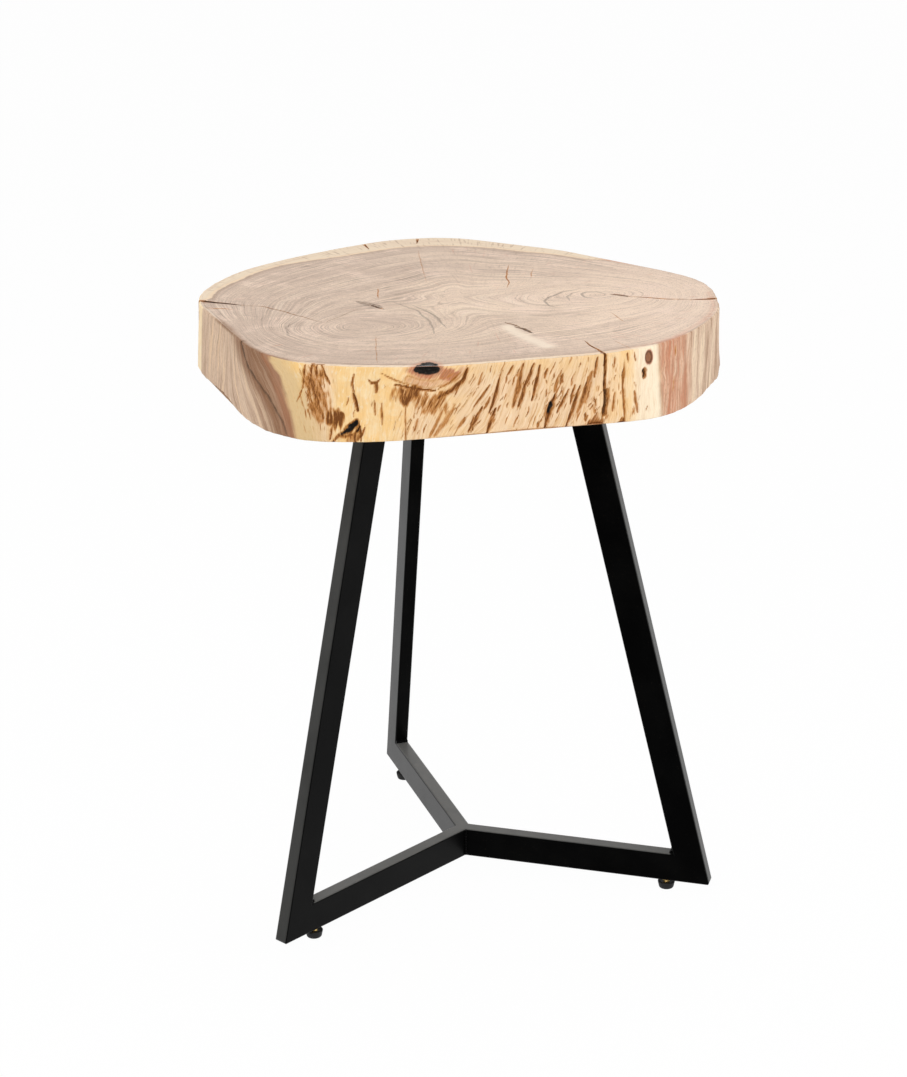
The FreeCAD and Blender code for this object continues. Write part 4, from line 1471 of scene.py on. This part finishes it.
    def _cap(self, ring: Field) -> Tuple[Field, Field, List[Tuple[int, ...]]]:
        """Triangles of the top, with its checks sunk in it.

        Args:
            ring: Outline points of the top.

        Returns:
            Points after the ring, their depth, char and bore, and triangles over ring and points.
        """
        lines: List[Tuple[Field, float]] = []
        spots: List[Field] = []
        stains: List[Field] = []
        edges: List[Tuple[int, int]] = []
        total = len(ring)
        for split in self.splits:
            middle, across, half = split.rows()
            inside = self._inset(ring, middle) > self.split_margin
            middle, across, half = middle[inside], across[inside], half[inside]
            for offset, sink, stain in self.split_profile:
                row = middle + across * (np.maximum(half, self.split_least) * offset)[:, None]
                depth = split.depth * sink * np.minimum(1.0, half / split.half + 0.05)
                tones = np.tile((stain * split.char, stain * split.bore), (len(row), 1))
                spots.append(row)
                stains.append(np.column_stack([depth, tones]))
                edges += [(total + index, total + index + 1) for index in range(len(row) - 1)]
                total += len(row)
            lines.append((middle, max(2.4, 1.7 * split.half + 0.7)))
        grid = self._cap_grid(ring, self.cap_spacing, self.cap_margin)
        close = self._cap_grid(ring, self.knot_spacing, self.knot_margin)
        grid = np.vstack([grid[self._burn(ring, grid) > self.knot_zone],
                          close[self._burn(ring, close) <= self.knot_zone]])
        clear = np.ones(len(grid), bool)
        for line, reach in lines:
            for spot in line:
                clear &= np.hypot(grid[:, 0] - spot[0], grid[:, 1] - spot[1]) > reach
        grid = grid[clear]
        burn = self._burn(ring, grid)
        crust = 1.6 + 0.8 * lattice_noise(self.seed + 13, *(grid.T / 2.4), LATTICE_PERIOD)
        stains.append(np.column_stack([ramp(1.05, 0.55, burn) * crust, ramp(1.08, 0.85, burn), np.zeros(len(grid))]))
        return self._triangles(ring, np.vstack(spots + [grid]), np.vstack(stains), edges)

    def _triangles(self, ring: Field, extra: Field, stains: Field,
                   edges: Sequence[Tuple[int, int]] = ()) -> Tuple[Field, Field, List[Tuple[int, ...]]]:
        """Triangulate an outline with the points in it, and keep any points that this adds.

        Args:
            ring: Outline points.
            extra: Points after the outline.
            stains: Their depth, char and bore.
            edges: Edges to keep, besides the outline's own.

        Returns:
            Points after the ring, their depth, char and bore, and triangles over ring and points.
        """
        count = len(ring)
        sides = [(index, (index + 1) % count) for index in range(count)]
        every = [Vector(spot) for spot in np.vstack([ring, extra])]
        found = geometry.delaunay_2d_cdt(every, sides + list(edges), [], 1, self.merge_reach, True)
        places, faces, origins = found[0], found[2], found[3]
        index: List[int] = []
        more: List[Pair] = []
        for place, origin in zip(places, origins):
            if origin:
                index.append(origin[0])
            else:
                index.append(count + len(extra) + len(more))
                more.append((place.x, place.y))
        if more:
            extra = np.vstack([extra, more])
            stains = np.vstack([stains, np.tile(self.added_stain, (len(more), 1))])
        return extra, stains, [tuple(index[corner] for corner in face) for face in faces]

    def _join(self, wall: Dict[str, Field]) -> Mesh:
        """Join live edge, top and underside into one closed mesh with its attributes.

        Args:
            wall: Arrays of the live edge.

        Returns:
            The mesh.
        """
        rows, columns = wall["x"].shape
        ring = np.column_stack([wall["x"][-1], wall["y"][-1]])
        base = np.column_stack([wall["x"][0], wall["y"][0]])
        extra, stains, triangles = self._cap(ring)
        under = self._cap_grid(base, self.under_spacing, self.under_margin)
        under, _, floor = self._triangles(base, under, np.zeros((len(under), 3)))
        first_cap = rows * columns
        first_under = first_cap + len(extra)
        points = np.vstack([
            np.column_stack([wall[axis].ravel() for axis in "xyz"]),
            np.column_stack([extra, self.top - stains[:, 0]]),
            np.column_stack([under, np.full(len(under), self.bottom)])]) * MM
        faces: List[Tuple[int, ...]] = []
        for row in range(rows - 1):
            low, high = row * columns, (row + 1) * columns
            for column in range(columns):
                after = (column + 1) % columns
                faces.append((low + column, low + after, high + after, high + column))
        last = (rows - 1) * columns
        faces += [tuple(last + i if i < columns else first_cap + i - columns for i in face) for face in triangles]
        faces += [tuple(i if i < columns else first_under + i - columns for i in face[::-1]) for face in floor]
        mesh = plain_mesh("trunk_slice", points, faces)
        self._write_fields(mesh, wall, ring, base, extra, stains, under)
        return mesh

    def _write_fields(self, mesh: Mesh, wall: Dict[str, Field], ring: Field, base: Field, extra: Field,
                      stains: Field, under: Field) -> None:
        """Write the wood's attributes on the mesh.

        Args:
            mesh: The slice's mesh.
            wall: Arrays of the live edge.
            ring: Outline of the top.
            base: Outline of the underside.
            extra: Points of the top.
            stains: Their depth, char and bore.
            under: Points of the underside.
        """
        inset = np.concatenate([self._inset(ring, extra), self._inset(base, under)])
        spots = np.vstack([extra, under])
        angle = bearing(spots)
        sap = looked_up(self.sap_width, angle) - inset
        streak, share = stroke(spots[:, 0], spots[:, 1], self.pale_streak)
        # Painted highlight: front paints a pale line along the front rim of the top, carried by the pale layer.
        front = ramp(5.5, 2.0, inset) * ramp(238.0, 246.0, angle) * ramp(313.0, 308.0, angle)
        pale = np.maximum(0.95 * ramp(7.0 + 3.0 * share, 2.0, streak), 0.8 * front)
        right = ramp(7.0, 1.0, inset) * ramp(60.0, 25.0, np.abs(angle - 345.0))
        left = ramp(4.0, 0.5, inset) * ramp(196.0, 204.0, angle) * ramp(240.0, 232.0, angle)
        halo = ramp(1.7, 1.1, self._burn(ring, spots))
        upper = np.arange(len(spots)) < len(extra)
        stains = np.vstack([stains, np.zeros((len(under), 3))])
        zero = np.zeros(len(spots))
        tail = {"inset": np.maximum(inset, 0.0), "sap": np.clip(sap, -60.0, 40.0), "side": zero, "flow": zero,
                "bore": stains[:, 2], "char": stains[:, 1], "bored": zero,
                "rust": np.maximum(0.5 * right, 0.5 * halo) * upper, "pale": pale * upper, "brown": 0.6 * left * upper}
        for name, values in tail.items():
            layer = mesh.attributes.new(name, "FLOAT", "POINT")
            layer.data.foreach_set("value", np.concatenate([wall[name].ravel(), values]).astype(np.float32))


# The frame


@dataclass
class SteelFrame:
    """Welded frame of flat tube: coated CAD tubes with rippled weld beads."""

    tube_width: float = 12.0
    bead_pitch: float = 1.5
    corner_bead: float = 4.6
    corner_inset: float = 2.0
    corner_lift: float = 0.6
    corner_out: float = 0.8
    centre_bead: float = 3.6
    centre_gap: float = 0.2
    centre_inset: float = 1.0
    plate_bead: float = 3.4
    plate_half: float = 8.0
    plate_gap: float = 0.5
    seed: int = 5

    def build(self, coat: Material) -> None:
        """Coat the tubes and lay the beads.

        Args:
            coat: The powder coat.
        """
        for side in Side:
            for stem in ("leg", "base_bar", "mounting_plate"):
                dressed(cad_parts[stem + "_" + side.label], coat, smooth=False)
        tree = weld_tree()
        for side in Side:
            self._bead(tree, coat, "corner_bead_" + side.label, [self._corner_run(side)], self.corner_bead,
                       "corner_weld_" + side.label)
            self._bead(tree, coat, "plate_bead_" + side.label, self._plate_runs(side), self.plate_bead,
                       "plate_weld_" + side.label)
        self._bead(tree, coat, "centre_bead", self._centre_runs(), self.centre_bead, "centre_weld")

    def _bead(self, tree: GeometryTree, coat: Material, name: str,
              runs: Sequence[Sequence[Point]], width: float, node: str) -> None:
        """Lay beads along runs and let them stand for a weld's node.

        Args:
            tree: Tree that lays the ripples.
            coat: The powder coat.
            name: Piece's name.
            runs: Ends of each bead.
            width: Bead's width.
            node: CAD node of the weld.
        """
        points = [tuple(value * MM for value in spot) for run in runs for spot in run]
        edges = [(2 * index, 2 * index + 1) for index in range(len(runs))]
        path = plain_mesh(name + "_path", points, [], edges)
        obj = tree.bake(name, path, {"Pitch": self.bead_pitch * MM, "Width": width * MM, "Seed": self.seed,
                                     "Coat": coat})
        seat(obj, "table", "frame_coat", node)

    def _corner_run(self, side: Side) -> List[Point]:
        """Bead across the inner corner of a V.

        Args:
            side: The V.

        Returns:
            Ends of the bead.
        """
        low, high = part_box("corner_weld_" + side.label)
        turn = math.radians(side.value)
        middle = (low + high) / 2 / MM
        reach = self.tube_width / 2 - self.corner_inset
        across = (-math.sin(turn) * reach, math.cos(turn) * reach)
        lift = low.z / MM + self.corner_lift
        x, y = middle.x + self.corner_out * math.cos(turn), middle.y + self.corner_out * math.sin(turn)
        return [(x - across[0], y - across[1], lift), (x + across[0], y + across[1], lift)]

    def _plate_runs(self, side: Side) -> List[List[Point]]:
        """Beads under a plate, one on each wide face of its leg.

        Args:
            side: Leg that carries the plate.

        Returns:
            Ends of the two beads.
        """
        low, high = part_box("plate_weld_" + side.label)
        turn = math.radians(side.value)
        middle = (low + high) / 2 / MM
        along = (math.cos(turn) * self.plate_half, math.sin(turn) * self.plate_half)
        level = high.z / MM - self.plate_gap
        runs = []
        for hand in (-1, 1):
            reach = hand * (self.tube_width / 2 + self.plate_gap)
            x, y = middle.x - math.sin(turn) * reach, middle.y + math.cos(turn) * reach
            runs.append([(x - along[0], y - along[1], level), (x + along[0], y + along[1], level)])
        return runs

    def _centre_runs(self) -> List[List[Point]]:
        """Upright beads in the nooks of the hub.

        Returns:
            Ends of each bead.
        """
        low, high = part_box("centre_weld")
        headings = sorted(side.value for side in Side)
        runs = []
        for first, second in zip(headings, headings[1:] + [headings[0] + FULL_TURN]):
            gap = math.radians(second - first) / 2
            turn = math.radians((first + second) / 2)
            reach = self.tube_width / 2 / math.sin(gap) + self.centre_gap
            x, y = reach * math.cos(turn), reach * math.sin(turn)
            runs.append([(x, y, low.z / MM + self.centre_inset), (x, y, high.z / MM - self.centre_inset)])
        return runs


@dataclass
class PlateScrews:
    """Pan head wood screws that hold the plates to the slice."""

    head: float = 10.0
    head_height: float = 3.2
    recess_depth: float = 0.55
    shank: float = 4.5
    plain: float = 1.5
    thread: float = 0.45
    ridge: float = 0.22
    pitch: float = 2.2
    steps_a_turn: int = 8
    length: float = 30.0
    tip: float = 6.0
    blunt: float = 0.6
    point: float = 0.05
    plate_half: float = 45.0
    inset: float = 12.0
    segments: int = 24
    seed: int = 3

    def build(self, plating: Material) -> None:
        """Make one screw and set it at every hole.

        Args:
            plating: Bright zinc.
        """
        pattern = shown("screw_pattern", self._screw())
        places = [place for side in Side for place in self._places(side)]
        obj = screw_tree().bake("plate_screw_set", plain_mesh("screw_places", places, []),
                                {"Screw": pattern, "Seed": self.seed, "Plating": plating})
        bpy.data.objects.remove(pattern)
        dressed(obj, plating)
        seat(obj, "table", "screw_steel", "plate_screws")
        dressed(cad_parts["thread_bushes"], plating)

    def _places(self, side: Side) -> List[Point]:
        """Holes of a plate.

        Args:
            side: Leg that carries the plate.

        Returns:
            Places of its screws in metres.
        """
        low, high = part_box("mounting_plate_" + side.label)
        middle = (low + high) / 2
        turn = math.radians(side.value)
        reach = (self.plate_half - self.inset) * MM
        return [(middle.x + hand * reach * math.cos(turn), middle.y + hand * reach * math.sin(turn), low.z)
                for hand in (-1, 1)]

    def _screw(self) -> Mesh:
        """Screw standing point up, with its thread and a cross recess in its head.

        Returns:
            The mesh.
        """
        crown, side, core = -self.head_height, self.head / 2, self.shank / 2 - self.thread
        profile = [(0.0, crown + 0.9), (0.35, crown + 0.9), (1.5, crown + 0.25), (1.9, crown), (3.0, crown + 0.15),
                   (4.2, crown + 0.75), (side - 0.15, crown + 1.7), (side, -0.5), (side - 0.2, 0.0), (core, 0.0)]
        level = 0.0
        while level < self.length - self.blunt:
            level += self.pitch / self.steps_a_turn
            taper = min(1.0, (self.length - level) / self.tip)
            profile.append((max(core * taper, self.point), level))
        profile.append((0.0, self.length))
        recess = crown + 0.95

        def swell(angle: float, height: float) -> float:
            """Cross recess in the head and thread on the shank.

            Args:
                angle: Angle about the axis.
                height: Height above the head's seat.

            Returns:
                What is added to the radius.
            """
            if height < recess:
                return self.recess_depth * math.cos(4 * angle)
            if height <= self.plain:
                return 0.0
            share = (height / self.pitch - angle / math.tau) % 1.0
            ridge = max(0.0, 1.0 - abs(share - 0.5) / self.ridge)
            return self.thread * ridge * min(1.0, (self.length - height) / self.tip)

        return turned_mesh("wood_screw", profile, self.segments, (0.0, 0.0), swell)


@dataclass
class LevellingFeet:
    """Threaded studs with round heads, each held by a moulded pad."""

    stud: float = 5.9
    stud_segments: int = 32
    thread: float = 0.55
    ridge: float = 0.45
    pitch: float = 1.0
    steps_a_turn: int = 8
    run_out: float = 0.8
    plain: float = 0.05
    lip: float = 1.5
    chamfer: float = 0.3
    head_height: float = 1.6
    pad_segments: int = 48
    pad_draft: float = 1.1
    pad_play: float = 0.1
    pad_floor: float = 1.6
    pad_roof: float = 3.4

    def build(self, zinc: Material, plastic: Material) -> None:
        """Make a stud and a pad for each leg.

        Args:
            zinc: Yellow zinc.
            plastic: Black plastic.
        """
        for side in Side:
            self._stud(side, zinc)
            self._pad(side, plastic)

    @staticmethod
    def _spot(node: str) -> Tuple[float, float, float, float]:
        """Axis, bottom and top of a turned node."""
        low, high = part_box(node)
        return ((low.x + high.x) / 2 / MM, (low.y + high.y) / 2 / MM, low.z / MM, high.z / MM)

    def _stud(self, side: Side, zinc: Material) -> None:
        """Make one stud with its thread.

        Args:
            side: Leg that it belongs to.
            zinc: Yellow zinc.
        """
        node = "foot_stud_" + side.label
        x, y, bottom, top = self._spot(node)
        crest = self.stud / 2
        core, head = crest - self.thread, crest + self.lip
        neck = bottom + self.head_height
        profile = [(0.0, bottom), (head - self.chamfer, bottom), (head, bottom + self.chamfer),
                   (head, neck - self.chamfer), (head - self.chamfer, neck), (core, neck)]
        level = neck
        while level < top - self.run_out:
            level += self.pitch / self.steps_a_turn
            profile.append((core, level))
        profile += [(core - 0.5, top), (0.0, top)]

        def swell(angle: float, height: float) -> float:
            """Height of the thread's ridge.

            Args:
                angle: Angle about the axis.
                height: Height above the floor.

            Returns:
                What is added to the radius.
            """
            if height <= neck + self.plain or height >= top - self.plain:
                return 0.0
            share = (height / self.pitch - angle / math.tau) % 1.0
            fade = min(1.0, (height - neck) / self.run_out, (top - height) / self.run_out)
            return self.thread * fade * max(0.0, 1.0 - abs(share - 0.5) / self.ridge)

        mesh = turned_mesh("threaded_stud", profile, self.stud_segments, (x, y), swell)
        obj = shown("threaded_stud_" + side.label, mesh)
        dressed(obj, zinc)
        seat(obj, side.label + "_stud", "yellow_zinc", node)

    def _pad(self, side: Side, plastic: Material) -> None:
        """Make one pad with rounded edges and its collar.

        Args:
            side: Leg that it belongs to.
            plastic: Black plastic.
        """
        node = "foot_pad_" + side.label
        x, y, bottom, top = self._spot(node)
        low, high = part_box(node)
        wide = (high.x - low.x) / 2 / MM
        narrow = wide - self.pad_draft
        bore = self.stud / 2 + self.pad_play
        roof, floor = bottom + self.pad_roof, bottom + self.pad_floor
        profile = [(0.0, bottom), (narrow - 1.1, bottom), (narrow - 0.45, bottom + 0.12), (narrow - 0.1, bottom + 0.5),
                   (narrow + 0.1, bottom + 1.1), (wide - 0.12, top - 0.9), (wide - 0.15, top - 0.45),
                   (wide - 0.45, top - 0.12), (wide - 0.9, top), (bore + 0.5, top), (bore, top - 0.4), (bore, roof),
                   (bore + self.lip, roof), (bore + self.lip, floor), (0.0, floor)]
        obj = shown("moulded_pad_" + side.label, turned_mesh("moulded_pad", profile, self.pad_segments, (x, y)))
        dressed(obj, plastic)
        seat(obj, side.label + "_pad", "pad_plastic", node)


# Studio


@dataclass(frozen=True)
class Panel:
    """A soft light panel: its place, aim and size in metres, and its power in watts."""

    name: str
    place: Point
    aim: Point
    size: Pair
    power: float

    def hang(self) -> None:
        """Hang the panel in the scene."""
        light = bpy.data.lights.new(self.name, "AREA")
        light.shape = "RECTANGLE"
        light.size, light.size_y = self.size
        light.energy = self.power
        lamp = bpy.data.objects.new(self.name, light)
        lamp.location = self.place
        lamp.rotation_euler = (Vector(self.aim) - Vector(self.place)).to_track_quat("-Z", "Y").to_euler()
        bpy.context.scene.collection.objects.link(lamp)


@dataclass
class Studio:
    """Pale floor, soft light and the camera at the photograph's place."""

    eye: Point = (-4.9, -1935.7, 986.6)
    down: float = 19.66
    roll: float = -0.79
    focal_pixels: float = 2500.0
    image_height: float = 1077.0
    sensor: float = 36.0
    clip_metres: float = 200.0
    floor_metres: float = 60.0
    floor_paint: Colour = (0.93, 0.93, 0.93)
    floor_glow: float = 0.975
    white: Colour = (1.0, 1.0, 1.0)
    room_light: float = 0.46
    panels: Tuple[Panel, ...] = (
        Panel("front_panel", (-0.6, -2.1, 1.75), (0.0, 0.0, 0.4), (1.3, 1.1), 22.5),
        Panel("left_panel", (-2.0, -0.25, 0.8), (0.0, 0.0, 0.35), (1.2, 1.4), 6.5),
        Panel("right_panel", (2.0, -0.6, 0.9), (0.0, 0.0, 0.35), (1.2, 1.4), 17.0),
        Panel("top_panel", (0.0, 0.5, 2.6), (0.0, 0.0, 0.4), (1.6, 1.6), 13.5))

    def build(self) -> None:
        """Set the floor, the light and the camera."""
        self._floor()
        self._world()
        for panel in self.panels:
            panel.hang()
        self._camera()

    def _floor(self) -> None:
        """Lay the floor."""
        half = self.floor_metres / 2
        mesh = plain_mesh("studio_floor", [(-half, -half, 0), (half, -half, 0), (half, half, 0), (-half, half, 0)],
                          [(0, 1, 2, 3)])
        floor = shown("studio_floor", mesh)
        material = bpy.data.materials.new("studio_floor")
        material.use_nodes = True
        graph = ShaderGraph(material.node_tree)
        paint = graph.node("ShaderNodeBsdfDiffuse", None, {"Color": self.floor_paint})
        glow = graph.node("ShaderNodeEmission", None, {"Color": self.white, "Strength": 1.0})
        seen = self._seen(graph) * self.floor_glow
        graph.show(graph.node("ShaderNodeMixShader", None, {0: seen, 1: paint, 2: glow}))
        mesh.materials.append(material)

    @staticmethod
    def _seen(graph: ShaderGraph) -> Signal:
        """1 for rays from the camera, and for what shows in gloss and glass."""
        rays = [graph.node("ShaderNodeLightPath", output=name)
                for name in ("Is Camera Ray", "Is Glossy Ray", "Is Transmission Ray")]
        return rays[0].most(rays[1]).most(rays[2])

    def _world(self) -> None:
        """Light the room evenly, with a white backdrop."""
        world = bpy.data.worlds.new("studio")
        bpy.context.scene.world = world
        world.use_nodes = True
        graph = ShaderGraph(world.node_tree)
        strength = self.room_light + (1.0 - self.room_light) * self._seen(graph)
        shade = graph.node("ShaderNodeBackground", None, {"Color": self.white, "Strength": strength})
        graph.show(shade, "ShaderNodeOutputWorld")
        bpy.context.scene.view_settings.view_transform = "Standard"

    def _camera(self) -> None:
        """Set the camera."""
        data = bpy.data.cameras.new("camera")
        data.sensor_fit = "VERTICAL"
        data.sensor_height = self.sensor
        data.lens = self.focal_pixels / self.image_height * data.sensor_height
        data.clip_end = self.clip_metres
        camera = bpy.data.objects.new("camera", data)
        tilt = Matrix.Rotation(math.radians(90.0 - self.down), 4, "X")
        lean = Matrix.Rotation(math.radians(self.roll), 4, "Z")
        camera.matrix_world = Matrix.Translation(Vector(self.eye) * MM) @ tilt @ lean
        bpy.context.scene.collection.objects.link(camera)
        bpy.context.scene.camera = camera


def main() -> None:
    """Build the table and the studio."""
    logging.basicConfig(level=logging.INFO, format="%(message)s")
    Studio().build()
    coat = PowderCoat().material()
    bright = PlatedSteel("screw_steel", (0.62, 0.63, 0.65), (0.50, 0.52, 0.55), 0.30).material()
    yellow = PlatedSteel("yellow_zinc", (0.80, 0.60, 0.20), (0.72, 0.50, 0.24), 0.28).material()
    TrunkSlice().build(SliceWood().material())
    SteelFrame().build(coat)
    PlateScrews().build(bright)
    LevellingFeet().build(yellow, PadPlastic().material())


if __name__ == "__main__":
    main()
